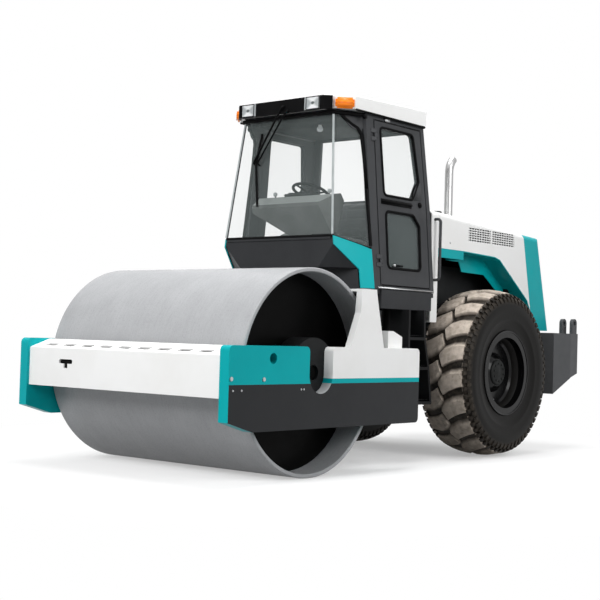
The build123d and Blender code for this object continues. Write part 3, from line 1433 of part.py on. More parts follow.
with BuildPart() as hood_skirts:
    with BuildSketch(Plane.XZ.offset(-HOOD_HALF_WIDTH)):
        with BuildLine():
            Polyline(
                *LINER_LINE,
                *[(x + LINER_SHIFT[0], z + LINER_SHIFT[1]) for x, z in reversed(LINER_LINE)],
                close=True,
            )
        make_face()
    extrude(amount=HOOD_HALF_WIDTH - LINER_Y)
    with BuildSketch(Plane.XZ.offset(-LINER_Y - HOOD_SHEET)):
        with BuildLine():
            Polyline(
                *LINER_LINE,
                *INNER_EDGE,
                (ARCH_FRONT[0], SKIRT_BOTTOM_Z),
                close=True,
            )
        make_face()
    extrude(amount=HOOD_SHEET)
    with Locations((ARCH_FRONT[0], HOOD_HALF_WIDTH, ARCH_FRONT[1] - 1)):
        Box(
            HOOD_FRONT_X - ARCH_FRONT[0],
            HOOD_SHEET,
            ARCH_FRONT[1] - SKIRT_BOTTOM_Z - 1,
            align=(Align.MIN, Align.MAX, Align.MAX),
        )
        Box(
            HOOD_SHEET,
            HOOD_HALF_WIDTH - LINER_Y,
            ARCH_FRONT[1] - SKIRT_BOTTOM_Z - 1,
            align=(Align.MAX, Align.MAX, Align.MAX),
        )
    mirror(about=Plane.XZ)
hood_skirts.part.label = "hood_skirts"
export_step(hood_skirts.part, "parts/hood_skirts.step")

with BuildPart() as exhaust_pipe:
    with BuildLine() as pipe_path:
        straight = Line((*EXHAUST, HOOD_FRONT_TOP_Z - 90), (*EXHAUST, EXHAUST_STRAIGHT_Z))
        TangentArc(straight @ 1, EXHAUST_OUTLET, tangent=straight % 1)
    with BuildSketch(Plane.XY.offset(HOOD_FRONT_TOP_Z - 90)):
        with Locations(EXHAUST):
            Circle(EXHAUST_RADIUS)
            Circle(EXHAUST_RADIUS - EXHAUST_WALL, mode=Mode.SUBTRACT)
    sweep()
    with BuildSketch(Plane.XY.offset(HOOD_FRONT_TOP_Z - 38)):
        with Locations(EXHAUST):
            Circle(EXHAUST_RADIUS + 14)
            Circle(EXHAUST_RADIUS - EXHAUST_WALL, mode=Mode.SUBTRACT)
    extrude(amount=34)
exhaust_pipe.part.label = "exhaust_pipe"
export_step(exhaust_pipe.part, "parts/exhaust_pipe.step")

# Steering cylinders: barrels pinned to the rear frame, rods to the hitch lugs

rear_eye = Vector(PIVOT_X - CYL_REAR_REACH, CYL_REAR_Y, CYL_Z)
front_eye = Vector(PIVOT_X + CYL_FRONT_REACH, CYL_FRONT_Y, CYL_Z)
cylinder_plane = Plane(origin=rear_eye, x_dir=front_eye - rear_eye, z_dir=(0, 0, 1))
cylinder_axis = Axis(rear_eye, front_eye - rear_eye)
cylinder_span = (front_eye - rear_eye).length
eye_bottom = cylinder_plane.offset(-EYE_THICKNESS / 2)

with BuildPart() as steering_cylinder_left:
    with BuildSketch(cylinder_plane):
        with BuildLine():
            Polyline(
                (EYE_BORE + 8, 0),
                (EYE_BORE + 8, EYE_THICKNESS / 2 - 2),
                (EYE_RADIUS + 6, EYE_THICKNESS / 2 - 2),
                (EYE_RADIUS + 12, CYL_BARREL_RADIUS),
                (CYL_BARREL_LENGTH, CYL_BARREL_RADIUS),
                (CYL_BARREL_LENGTH, CYL_ROD_RADIUS + RUNNING_GAP),
                (CYL_BARREL_LENGTH - 26, CYL_ROD_RADIUS + RUNNING_GAP),
                (CYL_BARREL_LENGTH - 26, CYL_BARREL_RADIUS - 9),
                (EYE_RADIUS + 22, CYL_BARREL_RADIUS - 9),
                (EYE_RADIUS + 22, 0),
                close=True,
            )
        make_face()
    revolve(axis=cylinder_axis)
    with BuildSketch(eye_bottom):
        Circle(EYE_RADIUS)
    extrude(amount=EYE_THICKNESS)
    with BuildSketch(cylinder_plane.offset(-CYL_BARREL_RADIUS)):
        Circle(EYE_BORE + RUNNING_GAP)
    extrude(amount=2 * CYL_BARREL_RADIUS, mode=Mode.SUBTRACT)
steering_cylinder_left.part.label = "steering_cylinder_left"
export_step(steering_cylinder_left.part, "parts/steering_cylinder_left.step")

with BuildPart() as steering_cylinder_right:
    mirror(steering_cylinder_left.part, about=Plane.XZ)
steering_cylinder_right.part.label = "steering_cylinder_right"
export_step(steering_cylinder_right.part, "parts/steering_cylinder_right.step")

with BuildPart() as steering_rod_left:
    with BuildSketch(cylinder_plane):
        with BuildLine():
            Polyline(
                (cylinder_span - CYL_ROD_LENGTH, 0),
                (cylinder_span - CYL_ROD_LENGTH, CYL_BARREL_RADIUS - 9 - RUNNING_GAP),
                (cylinder_span - CYL_ROD_LENGTH + 18, CYL_BARREL_RADIUS - 9 - RUNNING_GAP),
                (cylinder_span - CYL_ROD_LENGTH + 18, CYL_ROD_RADIUS),
                (cylinder_span - EYE_BORE - 8, CYL_ROD_RADIUS),
                (cylinder_span - EYE_BORE - 8, 0),
                close=True,
            )
        make_face()
    revolve(axis=cylinder_axis)
    with BuildSketch(eye_bottom):
        with Locations((cylinder_span, 0)):
            Circle(EYE_RADIUS)
            Circle(EYE_BORE, mode=Mode.SUBTRACT)
    extrude(amount=EYE_THICKNESS)
steering_rod_left.part.label = "steering_rod_left"
export_step(steering_rod_left.part, "parts/steering_rod_left.step")

with BuildPart() as steering_rod_right:
    mirror(steering_rod_left.part, about=Plane.XZ)
steering_rod_right.part.label = "steering_rod_right"
export_step(steering_rod_right.part, "parts/steering_rod_right.step")
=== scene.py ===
import math

import bmesh
import bpy
from mathutils import Matrix, Vector


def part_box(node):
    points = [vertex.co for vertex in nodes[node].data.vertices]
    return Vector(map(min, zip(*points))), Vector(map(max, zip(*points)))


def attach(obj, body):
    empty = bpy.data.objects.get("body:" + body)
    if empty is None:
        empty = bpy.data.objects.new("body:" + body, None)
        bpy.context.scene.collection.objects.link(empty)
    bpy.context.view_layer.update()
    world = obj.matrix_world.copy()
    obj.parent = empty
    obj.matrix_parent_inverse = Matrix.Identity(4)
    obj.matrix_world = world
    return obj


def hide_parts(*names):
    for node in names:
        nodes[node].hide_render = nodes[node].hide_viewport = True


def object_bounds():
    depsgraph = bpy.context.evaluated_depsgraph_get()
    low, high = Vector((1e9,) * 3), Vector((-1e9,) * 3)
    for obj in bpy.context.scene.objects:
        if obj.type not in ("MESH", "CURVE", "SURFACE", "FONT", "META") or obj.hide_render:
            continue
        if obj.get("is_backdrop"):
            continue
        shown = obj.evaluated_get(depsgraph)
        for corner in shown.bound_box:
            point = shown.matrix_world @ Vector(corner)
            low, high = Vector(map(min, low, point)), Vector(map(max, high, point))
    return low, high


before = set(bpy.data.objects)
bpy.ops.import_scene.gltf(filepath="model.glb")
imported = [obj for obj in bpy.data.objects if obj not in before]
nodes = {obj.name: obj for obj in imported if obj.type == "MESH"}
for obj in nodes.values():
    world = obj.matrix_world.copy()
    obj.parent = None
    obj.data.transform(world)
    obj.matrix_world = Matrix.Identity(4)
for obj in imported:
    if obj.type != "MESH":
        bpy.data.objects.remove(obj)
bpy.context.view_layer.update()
sides = {"left": 1, "right": -1}
print("frame loaded:", len(nodes), "nodes")


# Materials

def linear(hexColour):
    channels = [int(hexColour[i:i + 2], 16) / 255 for i in (1, 3, 5)]
    return (*[c / 12.92 if c <= 0.04045 else ((c + 0.055) / 1.055) ** 2.4 for c in channels], 1)


def setInputs(tree, node, inputs):
    for key, value in inputs.items():
        if isinstance(value, bpy.types.NodeSocket):
            tree.links.new(value, node.inputs[key])
        else:
            node.inputs[key].default_value = linear(value) if isinstance(value, str) else value


def addNode(tree, kind, inputs=None, output=0, **settings):
    # gives the chosen output, or the node itself where it has none
    node = tree.nodes.new(kind)
    for key, value in settings.items():
        setattr(node, key, value)
    setInputs(tree, node, inputs or {})
    return node.outputs[output] if node.outputs else node


def newMaterial(name):
    material = bpy.data.materials.new(name)
    material.use_nodes = True
    return material, material.node_tree, addNode(material.node_tree, "ShaderNodeTexCoord", output="Object")


def finishMaterial(material, inputs):
    setInputs(material.node_tree, material.node_tree.nodes["Principled BSDF"], inputs)
    return material


def grain(tree, coords, sizeMm, detail=3, stretch=(1, 1, 1), roughness=0.55):
    # noise whose cells are about sizeMm across
    scaled = addNode(tree, "ShaderNodeMapping", {"Vector": coords, "Scale": stretch})
    return addNode(tree, "ShaderNodeTexNoise", {
        "Vector": scaled, "Scale": 1000 / sizeMm, "Detail": detail, "Roughness": roughness}, "Fac")


def flutes(tree, coords, spacingMm, direction, wander):
    # even ribs; a wave texture of scale 1 repeats every 314.16 mm
    return addNode(tree, "ShaderNodeTexWave", {
        "Vector": coords, "Scale": 314.16 / spacingMm, "Distortion": wander}, "Fac", bands_direction=direction)


def patchy(tree, pattern, first, second, low=0, high=1, amount=1):
    # the second colour covers the first where the pattern is strong
    share = addNode(tree, "ShaderNodeMapRange", {0: pattern, 1: low, 2: high, 4: amount})
    return addNode(tree, "ShaderNodeMix", {0: share, 6: first, 7: second}, 2, data_type="RGBA")


def product(tree, *factors):
    result = factors[0]
    for factor in factors[1:]:
        result = addNode(tree, "ShaderNodeMath", {0: result, 1: factor}, operation="MULTIPLY")
    return result


def allHold(tree, *tests):
    # 1 where every value lies on its side of its limit, else 0
    return product(tree, *[addNode(tree, "ShaderNodeMath", {0: value, 1: limit}, operation=test)
                           for value, test, limit in tests])


def axleDistance(tree, coords, x, z):
    # how far a point lies from an axle along y
    flat = addNode(tree, "ShaderNodeMapping", {"Vector": coords, "Location": (-x, 0, -z), "Scale": (1, 0, 1)})
    return addNode(tree, "ShaderNodeVectorMath", {0: flat}, "Value", operation="LENGTH")


def unevenSheen(tree, coords, sizeMm, detail, least, most):
    # roughness that wanders between two values, as handling and dust leave it
    return addNode(tree, "ShaderNodeMapRange", {
        0: grain(tree, coords, sizeMm, detail), 1: 0.3, 2: 0.7, 3: least, 4: most})


def fineRelief(tree, coords, sizeMm, depthMm):
    return addNode(tree, "ShaderNodeBump", {
        "Height": grain(tree, coords, sizeMm, 2), "Distance": depthMm / 1000, "Strength": 0.5})


paintLook = {"gloss": 0.10, "coat": 0.03, "patch": 0.45, "rough": 0.34, "peelMm": 0.10, "patchMm": 420}
satinLook = {"gloss": 0.10, "coat": 0.01, "patch": 0.6, "rough": 0.48, "peelMm": 0.18, "patchMm": 300}
rimLook = {"gloss": 0.16, "coat": 0.08, "patch": 0.4, "rough": 0.20, "peelMm": 0.06, "patchMm": 200}
tealShades = ("#00A5AA", "#00989E")
whiteShades = ("#F0F0EF", "#E6E5E2")


def dusted(tree, coords, look, shades):
    # broad patches of thin dust dull the paint
    return patchy(tree, grain(tree, coords, look["patchMm"], 4), *shades, 0.42, 0.72, look["patch"])


def sprayed(material, coords, look, colour):
    tree = material.node_tree
    return finishMaterial(material, {
        "Base Color": colour, "IOR": 1.5, "Specular IOR Level": look["gloss"], "Coat Weight": look["coat"],
        "Coat Roughness": 0.08, "Normal": fineRelief(tree, coords, 5, look["peelMm"]),
        "Roughness": unevenSheen(tree, coords, 90, 4, look["rough"] - 0.05, look["rough"] + 0.07)})


def enamelPaint(name, shades, look):
    # sprayed two-pack enamel: a clean colour under a low sheen, faint orange peel, broad patches of thin dust
    material, tree, coords = newMaterial(name)
    return sprayed(material, coords, look, dusted(tree, coords, look, shades))


tealEnamel = enamelPaint("teal_gloss_enamel", tealShades, paintLook)
whiteEnamel = enamelPaint("white_gloss_enamel", whiteShades, paintLook)
charcoalEnamel = enamelPaint("charcoal_satin_enamel", ("#343537", "#2C2D2F"), satinLook)
frameBlack = enamelPaint("black_satin_enamel", ("#18191A", "#101011"), satinLook)
ballastGrey = enamelPaint("iron_grey_satin_enamel", ("#505153", "#484A4B"), satinLook)
cabCharcoal = enamelPaint("cab_charcoal_powder_coat", ("#414244", "#38393B"), satinLook)
rimBlack = enamelPaint("black_gloss_rim_enamel", ("#060607", "#0B0B0B"), rimLook)
hubGrey = enamelPaint("grey_cast_hub_paint", ("#242525", "#1C1D1C"), satinLook)

plateBands = {"outerY": 1.1686, "bandZ": 0.731, "stripeZ": 0.768, "rearX": 1.70, "frontX": 2.782,
              "notchRearX": 1.60, "notchFrontX": 1.92, "notchLowZ": 0.640}


def sidePlatePaint(bands):
    # thick plate in three colours: masked enamel bands on the outer face, teal on the front half,
    # white behind the notch, and bare flame-cut steel in the notch's floor
    material, tree, coords = newMaterial("side_plate_enamel_bands")
    x, y, z = addNode(tree, "ShaderNodeSeparateXYZ", {0: coords}).node.outputs
    sideways = addNode(tree, "ShaderNodeMath", {0: y}, operation="ABSOLUTE")
    low = (z, "LESS_THAN", bands["bandZ"])
    rearTop = allHold(tree, (x, "LESS_THAN", bands["rearX"]), (z, "GREATER_THAN", bands["stripeZ"]))
    darkBand = allHold(tree, low, (sideways, "GREATER_THAN", bands["outerY"]), (x, "LESS_THAN", bands["frontX"]))
    bareCut = allHold(tree, low, (sideways, "LESS_THAN", bands["outerY"]), (z, "GREATER_THAN", bands["notchLowZ"]),
                      (x, "GREATER_THAN", bands["notchRearX"]), (x, "LESS_THAN", bands["notchFrontX"]))
    teal, white, dark = (dusted(tree, coords, paintLook, shades)
                         for shades in (tealShades, whiteShades, ("#292A2C", "#222325")))
    colour = patchy(tree, rearTop, teal, white)
    colour = patchy(tree, darkBand, colour, dark)
    colour = patchy(tree, bareCut, colour, "#B8B9BA")
    return sprayed(material, coords, {**paintLook, "rough": 0.35}, colour)


def rolledSteel():
    # bare rolled drum shell: a fine even mill grain, faint streaks round the drum and small scuffs
    material, tree, coords = newMaterial("worn_rolled_drum_steel")
    colour = patchy(tree, grain(tree, coords, 340, 3), "#9FA0A2", "#AAABAD", 0.3, 0.7)
    colour = patchy(tree, grain(tree, coords, 90, 5, (0.5, 7.0, 0.5)), colour, "#8D8E90", 0.45, 0.75, 0.35)
    colour = patchy(tree, grain(tree, coords, 11, 4), colour, "#848588", 0.5, 0.75, 0.45)
    return finishMaterial(material, {
        "Base Color": colour, "Metallic": 0.12, "Specular IOR Level": 0.3,
        "Roughness": unevenSheen(tree, coords, 11, 4, 0.44, 0.60), "Normal": fineRelief(tree, coords, 4, 0.12)})


drumEdge = {"bareFrom": 0.790, "bareTo": 0.803, "axleX": 1.742, "axleZ": 0.810}


def drumEndPaint(edge):
    # welded end plates in near-black enamel, with rubbed bare steel where the shell's rim meets the ground
    material, tree, coords = newMaterial("black_drum_end_enamel")
    rim = addNode(tree, "ShaderNodeMapRange", {
        0: axleDistance(tree, coords, edge["axleX"], edge["axleZ"]), 1: edge["bareFrom"], 2: edge["bareTo"]})
    blotches = addNode(tree, "ShaderNodeMapRange", {0: grain(tree, coords, 24, 4), 1: 0.35, 2: 0.6})
    black = patchy(tree, grain(tree, coords, 160, 3), "#040404", "#0A0A0A")
    return finishMaterial(material, {
        "Base Color": patchy(tree, product(tree, rim, blotches), black, "#5A5B5D"), "IOR": 1.5,
        "Specular IOR Level": 0.03, "Coat Weight": 0.01, "Coat Roughness": 0.15,
        "Roughness": unevenSheen(tree, coords, 60, 3, 0.30, 0.46), "Normal": fineRelief(tree, coords, 5, 0.12)})


def brightSteel(name, shades, rough):
    # ground and polished steel: fine marks along its length
    material, tree, coords = newMaterial(name)
    marks = grain(tree, coords, 3, 3, (6, 6, 0.6))
    sheen = addNode(tree, "ShaderNodeMapRange", {0: marks, 1: 0.3, 2: 0.7, 3: rough - 0.06, 4: rough + 0.08})
    return finishMaterial(material, {
        "Base Color": patchy(tree, marks, *shades, 0.3, 0.7), "Metallic": 1.0, "Roughness": sheen})


def tyreRubber(name, wheel, look):
    # carbon-black rubber: block tops scuffed and dusted beige, grooves brown, side walls near black
    material, tree, coords = newMaterial(name)
    sideways = addNode(tree, "ShaderNodeSeparateXYZ", {0: coords}, "Y")
    sideways = addNode(tree, "ShaderNodeMath", {0: sideways}, operation="ABSOLUTE")
    across = addNode(tree, "ShaderNodeMath", {0: sideways, 1: wheel["axleY"]}, operation="SUBTRACT")
    offCentre = addNode(tree, "ShaderNodeMath", {0: across}, operation="ABSOLUTE")
    # the distance from the axle, with the crown's fall towards the shoulders taken out
    level = addNode(tree, "ShaderNodeMath", {
        0: product(tree, across, across), 1: wheel["crownDrop"] / wheel["halfTread"] ** 2,
        2: axleDistance(tree, coords, wheel["x"], wheel["z"])}, operation="MULTIPLY_ADD")
    mud = grain(tree, coords, look["mudMm"], 5, roughness=0.6)
    spans = (
        (level, wheel["radius"] - look["dustDepth"], wheel["radius"] - look["cleanDepth"], 0, 1),
        (mud, 0.28, 0.50, 0.62, 1),
        (offCentre, *look["dustEdge"], 1, 0),
        (level, *look["floorLevels"], 0, 1),
        (mud, 0.40, 0.70, 0.15, look["grooveDust"]),
    )
    tops, muddyTops, onTread, floor, muddyFloor = (
        addNode(tree, "ShaderNodeMapRange", dict(enumerate(span))) for span in spans)
    cover = product(tree, tops, muddyTops, onTread)
    dust = patchy(tree, grain(tree, coords, 60, 4), look["dust"], look["dustDark"], 0.35, 0.65)
    rubber = patchy(tree, product(tree, floor, muddyFloor), look["rubber"], look["mud"])
    scuffs = addNode(tree, "ShaderNodeMath", {
        0: grain(tree, coords, 30, 3), 1: 1.5, 2: grain(tree, coords, 9, 4)}, operation="MULTIPLY_ADD")
    return finishMaterial(material, {
        "Base Color": patchy(tree, cover, rubber, dust), "IOR": 1.5, "Specular IOR Level": 0.10,
        "Roughness": addNode(tree, "ShaderNodeMapRange", {0: cover, 3: 0.50, 4: 0.85}),
        "Normal": addNode(tree, "ShaderNodeBump", {"Height": scuffs, "Distance": 0.0009, "Strength": 0.6})})


def mouldedPlastic(name, shades, grainMm, rough):
    # injection-moulded plastic with a spark-eroded grain, a little lighter where hands and dust reach
    material, tree, coords = newMaterial(name)
    return finishMaterial(material, {
        "Base Color": patchy(tree, grain(tree, coords, 160, 3), *shades, 0.35, 0.65), "IOR": 1.46,
        "Specular IOR Level": 0.05, "Roughness": unevenSheen(tree, coords, 30, 3, rough - 0.05, rough + 0.08),
        "Normal": fineRelief(tree, coords, grainMm, 0.25)})


def consolePlasticWithPaintedTopLight():
    # grey moulded console: faces turned upwards are painted pale, as painted light falling from above; the others
    # keep the dark grey
    material, tree, coords = newMaterial("console_plastic_with_painted_top_light")
    facing = addNode(tree, "ShaderNodeNewGeometry", output="Normal")
    upward = addNode(tree, "ShaderNodeSeparateXYZ", {0: facing}, "Z")
    body = patchy(tree, grain(tree, coords, 160, 3), "#5A5C5B", "#505251", 0.35, 0.65)
    return finishMaterial(material, {
        # the pale #8F9492 on upward-facing faces is painted light from above
        "Base Color": patchy(tree, upward, body, "#8F9492", 0.35, 0.80), "IOR": 1.46, "Specular IOR Level": 0.08,
        "Roughness": unevenSheen(tree, coords, 30, 3, 0.52, 0.66), "Normal": fineRelief(tree, coords, 2, 0.25)})


def reflectorLens(lamp):
    # clear lens over a pressed reflector: pale wedges above and below and greyer ones to the sides are painted
    # reflections, darker bands along the flutes are painted shade, and the middle is a dark bulb
    material, tree, coords = newMaterial("headlamp_lens_and_reflector")
    place = coords
    for step, amount in (("ABSOLUTE", (0, 0, 0)), ("SUBTRACT", (0, lamp["y"], lamp["z"])),
                         ("MULTIPLY", (0, 1 / lamp["halfWidth"], 1 / lamp["halfHeight"]))):
        place = addNode(tree, "ShaderNodeVectorMath", {0: place, 1: amount}, operation=step)
    spread = addNode(tree, "ShaderNodeVectorMath", {0: place, 1: place}, "Value", operation="DOT_PRODUCT")
    reach = addNode(tree, "ShaderNodeVectorMath", {0: place}, operation="ABSOLUTE")
    _, sideways, upwards = addNode(tree, "ShaderNodeSeparateXYZ", {0: reach}).node.outputs
    wedge = addNode(tree, "ShaderNodeMath", {0: upwards, 1: sideways}, operation="SUBTRACT")
    ribs = flutes(tree, coords, 5.236, "Y", 0.6)
    # painted reflections: pale wedges above and below the bulb, grey ones to the sides
    bowl = patchy(tree, wedge, "#A3A8AA", "#F4F6F6", -0.25, 0.25)
    # painted shade: darker bands along the flutes
    bowl = patchy(tree, ribs, bowl, "#7E8486", amount=0.35)
    return finishMaterial(material, {
        "Base Color": patchy(tree, spread, "#4E5456", bowl, 0.02, 0.10), "IOR": 1.5, "Roughness": 0.18,
        "Specular IOR Level": 0.3,
        "Normal": addNode(tree, "ShaderNodeBump", {"Height": ribs, "Distance": 0.0012, "Strength": 0.6})})


def wovenCloth(name, shades):
    # flat-woven seat cloth: 4 mm ribs crossed by a finer thread, with a soft sheen
    material, tree, coords = newMaterial(name)
    weave = addNode(tree, "ShaderNodeMath", {
        0: flutes(tree, coords, 2.417, "Y", 0.3), 1: 0.6, 2: flutes(tree, coords, 4.028, "X", 0.3)},
        operation="MULTIPLY_ADD")
    return finishMaterial(material, {
        "Base Color": patchy(tree, grain(tree, coords, 90, 3), *shades, 0.35, 0.7), "Roughness": 0.9,
        "Sheen Weight": 0.35,
        "Normal": addNode(tree, "ShaderNodeBump", {"Height": weave, "Distance": 0.0006, "Strength": 0.6})})


def cabGlass(name, tint, alpha):
    # float glass with a faint grey-green tint, seen through
    material, tree, coords = newMaterial(name)
    return finishMaterial(material, {
        "Base Color": tint, "Alpha": alpha, "IOR": 1.5, "Specular IOR Level": 0.12,
        "Roughness": unevenSheen(tree, coords, 300, 2, 0.02, 0.06)})


def ribbedLens(name, shades, glow):
    # moulded lens: lighter and darker bands painted along its flutes as highlight and shade, over a bright reflector
    material, tree, coords = newMaterial(name)
    ribs = flutes(tree, coords, 14.28, "DIAGONAL", 1.2)
    return finishMaterial(material, {
        # the flutes mix the lens colour with its darker copy: painted highlight and shade
        "Base Color": patchy(tree, ribs, *shades), "IOR": 1.5, "Roughness": 0.25, "Specular IOR Level": 0.2,
        "Coat Weight": 0.05, "Emission Color": shades[0], "Emission Strength": glow,
        "Normal": addNode(tree, "ShaderNodeBump", {"Height": ribs, "Distance": 0.0012, "Strength": 0.6})})


tyreLow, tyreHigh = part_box("tyre_left")
wheel = {
    "x": (tyreLow.x + tyreHigh.x) / 2, "z": (tyreLow.z + tyreHigh.z) / 2,
    "axleY": (tyreLow.y + tyreHigh.y) / 2, "radius": (tyreHigh.z - tyreLow.z) / 2,
    "halfTread": 0.225, "crownDrop": 0.034,
}
tyreLook = {"mudMm": 42, "dustDepth": 0.034, "cleanDepth": 0.010, "dust": "#C4B8AC", "dustDark": "#A79C90",
            "rubber": "#11100F", "mud": "#4A433B", "grooveDust": 0.75, "dustEdge": (0.223, 0.230),
            "floorLevels": (0.700, 0.745)}
lampLow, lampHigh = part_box("headlamps")
headlamp = {"halfWidth": 0.075, "halfHeight": (lampHigh.z - lampLow.z) / 2, "y": lampHigh.y - 0.075,
            "z": (lampLow.z + lampHigh.z) / 2}

plateEnamel = sidePlatePaint(plateBands)
drumSteel = rolledSteel()
drumEndBlack = drumEndPaint(drumEdge)
polishedSteel = brightSteel("polished_rod_steel", ("#D8D8D8", "#A8A8A8"), 0.16)
exhaustSteel = brightSteel("stainless_exhaust_tube", ("#B9B9B9", "#9A9A9A"), 0.34)
zincSteel = brightSteel("zinc_plated_bolt_steel", ("#C4C6C8", "#9C9C9C"), 0.34)
dustyRubber = tyreRubber("dusty_tyre_rubber", wheel, tyreLook)
gasketRubber = mouldedPlastic("black_gasket_rubber", ("#0A0A0B", "#121213"), 3, 0.6)
blackPlastic = mouldedPlastic("black_moulded_plastic", ("#060607", "#0B0B0C"), 2, 0.48)
consolePlastic = consolePlasticWithPaintedTopLight()
trimPlastic = mouldedPlastic("charcoal_headliner_trim", ("#2C2F2F", "#252727"), 6, 0.8)
matRubber = mouldedPlastic("ribbed_floor_mat_rubber", ("#1B1B1B", "#2B2A28"), 8, 0.75)
sealGrey = mouldedPlastic("pale_glazing_sealant", ("#B4BABA", "#A2A8A8"), 4, 0.5)
seatCloth = wovenCloth("charcoal_woven_seat_cloth", ("#2A2B2E", "#35373A"))
seatVinyl = mouldedPlastic("black_seat_side_vinyl", ("#18181A", "#222224"), 2, 0.5)
clearGlass = cabGlass("clear_cab_glass", "#DCEAE8", 0.05)
shadedGlass = cabGlass("tinted_door_glass", "#C4D4D2", 0.08)
headlampLens = reflectorLens(headlamp)
lampLens = ribbedLens("clear_lamp_lens", ("#EEF2F2", "#B9C0C2"), 0.15)
amberLens = ribbedLens("amber_lamp_lens", ("#F08322", "#D8690F"), 0.12)
print("materials made:", len(bpy.data.materials))

cadFinishes = {
    drumSteel: ["drum_shell"],
    drumEndBlack: ["drum_ends"],
    frameBlack: ["drum_carriers", "rear_axle", "rear_chassis", "engine", "rear_crossmember", "hitch_pin",
                 "steering_cylinder_left", "steering_cylinder_right", "access_steps"],
    plateEnamel: ["side_plate_left", "side_plate_right"],
    tealEnamel: ["nose_sides", "hood_tail", "hood_skirts"],
    whiteEnamel: ["front_beam", "frame_posts", "cab_roof", "bulkhead", "hood_shell"],
    charcoalEnamel: ["cab_floor", "nose_panel"],
    ballastGrey: ["ballast"],
    cabCharcoal: ["cab_frame", "door_left", "door_right", "grab_rails", "screen_frame"],
    rimBlack: ["rim_left", "rim_right"],
    polishedSteel: ["steering_rod_left", "steering_rod_right"],
    exhaustSteel: ["exhaust_pipe"],
    blackPlastic: ["roof_fascia", "steering_wheel"],
    consolePlastic: ["dashboard"],
    seatVinyl: ["seat"],
    clearGlass: ["cab_glass"],
    shadedGlass: ["door_glass_left", "door_glass_right"],
    headlampLens: ["headlamps"],
    amberLens: ["marker_lamps"],
    dustyRubber: ["tyre_left", "tyre_right"],
}
for paint, names in cadFinishes.items():
    for name in names:
        mesh = nodes[name].data
        mesh.materials.clear()
        mesh.materials.append(paint)
print("finishes given to the frame")


# Small tools for making pieces

def addPiece(name, mesh, material=None, body="rear_machine", smooth=True):
    piece = bpy.data.objects.new(name, mesh)
    bpy.context.collection.objects.link(piece)
    if not mesh.materials:
        mesh.materials.append(material)
    for face in mesh.polygons:
        face.use_smooth = smooth
    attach(piece, body)
    return piece


def keptMesh(bm):
    bmesh.ops.recalc_face_normals(bm, faces=bm.faces)
    mesh = bpy.data.meshes.new("piece")
    bm.to_mesh(mesh)
    bm.free()
    return mesh


def meshFrom(fill):
    bm = bmesh.new()
    fill(bm)
    bmesh.ops.remove_doubles(bm, verts=bm.verts, dist=1e-6)
    return keptMesh(bm)


def joined(*meshes):
    bm = bmesh.new()
    for mesh in meshes:
        bm.from_mesh(mesh)
    return keptMesh(bm)


def softEdges(mesh, width, segments=2):
    # rounds a mesh's sharp edges, in place
    bm = bmesh.new()
    bm.from_mesh(mesh)
    sharp = [e for e in bm.edges if len(e.link_faces) == 2 and e.calc_face_angle(0) > 0.5]
    bmesh.ops.bevel(bm, geom=sharp, offset=width, segments=segments, affect="EDGES", clamp_overlap=True)
    bm.to_mesh(mesh)
    bm.free()
    return mesh


def loft(rings, capped=True):
    # joins each ring of points to the next and closes the two ends
    def fill(bm):
        loops = [[bm.verts.new(point) for point in ring] for ring in rings]
        for first, second in zip(loops, loops[1:]):
            for i in range(len(first)):
                j = (i + 1) % len(first)
                bm.faces.new((first[i], first[j], second[j], second[i]))
        if capped:
            bm.faces.new(loops[0])
            bm.faces.new(loops[-1])
    return meshFrom(fill)


def lathe(outline, centre, steps=40, alongY=False):
    # outline holds (radius, height) corners round an upright axis, or round an axle along y
    turn = Matrix.Rotation(math.radians(-90), 4, "X") if alongY else Matrix()
    place = Matrix.Translation(centre) @ turn
    angles = [2 * math.pi * i / steps for i in range(steps)]
    return loft([[place @ Vector((radius * math.cos(a), radius * math.sin(a), height)) for a in angles]
                 for radius, height in outline], outline[0] != outline[-1])


def block(low, high, bevel=0.003):
    low, high = Vector(low), Vector(high)
    place = Matrix.Translation((high + low) / 2) @ Matrix.Diagonal((*(high - low), 1))
    return softEdges(meshFrom(lambda bm: bmesh.ops.create_cube(bm, size=1, matrix=place)), bevel)


def rod(start, end, radius, sides=20):
    start, end = Vector(start), Vector(end)
    place = Matrix.Translation((start + end) / 2) @ (end - start).to_track_quat("Z", "Y").to_matrix().to_4x4()
    return softEdges(meshFrom(lambda bm: bmesh.ops.create_cone(
        bm, segments=sides, radius1=radius, radius2=radius, depth=(end - start).length, cap_ends=True,
        matrix=place)), min(0.002, radius * 0.2))


def newTree(name, sizes):
    tree = bpy.data.node_groups.new(name, "GeometryNodeTree")
    tree.interface.new_socket("Geometry", in_out="OUTPUT", socket_type="NodeSocketGeometry")
    for label, kind in {"Geometry": "Geometry", **sizes}.items():
        tree.interface.new_socket(label, in_out="INPUT", socket_type="NodeSocket" + kind)
    return tree, addNode(tree, "NodeGroupInput").node.outputs


def endTree(tree, geometry, material):
    solid = addNode(tree, "GeometryNodeRealizeInstances", {0: geometry})
    painted = addNode(tree, "GeometryNodeSetMaterial", {"Geometry": solid, "Material": material})
    addNode(tree, "NodeGroupOutput", {0: painted})
    return tree


def applyTree(name, mesh, tree, values, body="rear_machine", smooth=False):
    # runs a geometry tree on a mesh once and keeps the plain result
    source = bpy.data.objects.new(name, mesh)
    bpy.context.collection.objects.link(source)
    modifier = source.modifiers.new(tree.name, "NODES")
    modifier.node_group = tree
    for item in tree.interface.items_tree:
        if item.in_out == "INPUT" and item.name in values:
            modifier[item.identifier] = values[item.name]
    graph = bpy.context.evaluated_depsgraph_get()
    graph.update()
    made = bpy.data.meshes.new_from_object(source.evaluated_get(graph))
    source.modifiers.clear()
    bpy.data.objects.remove(source)
    made.name = name
    return addPiece(name, made, None, body, smooth)


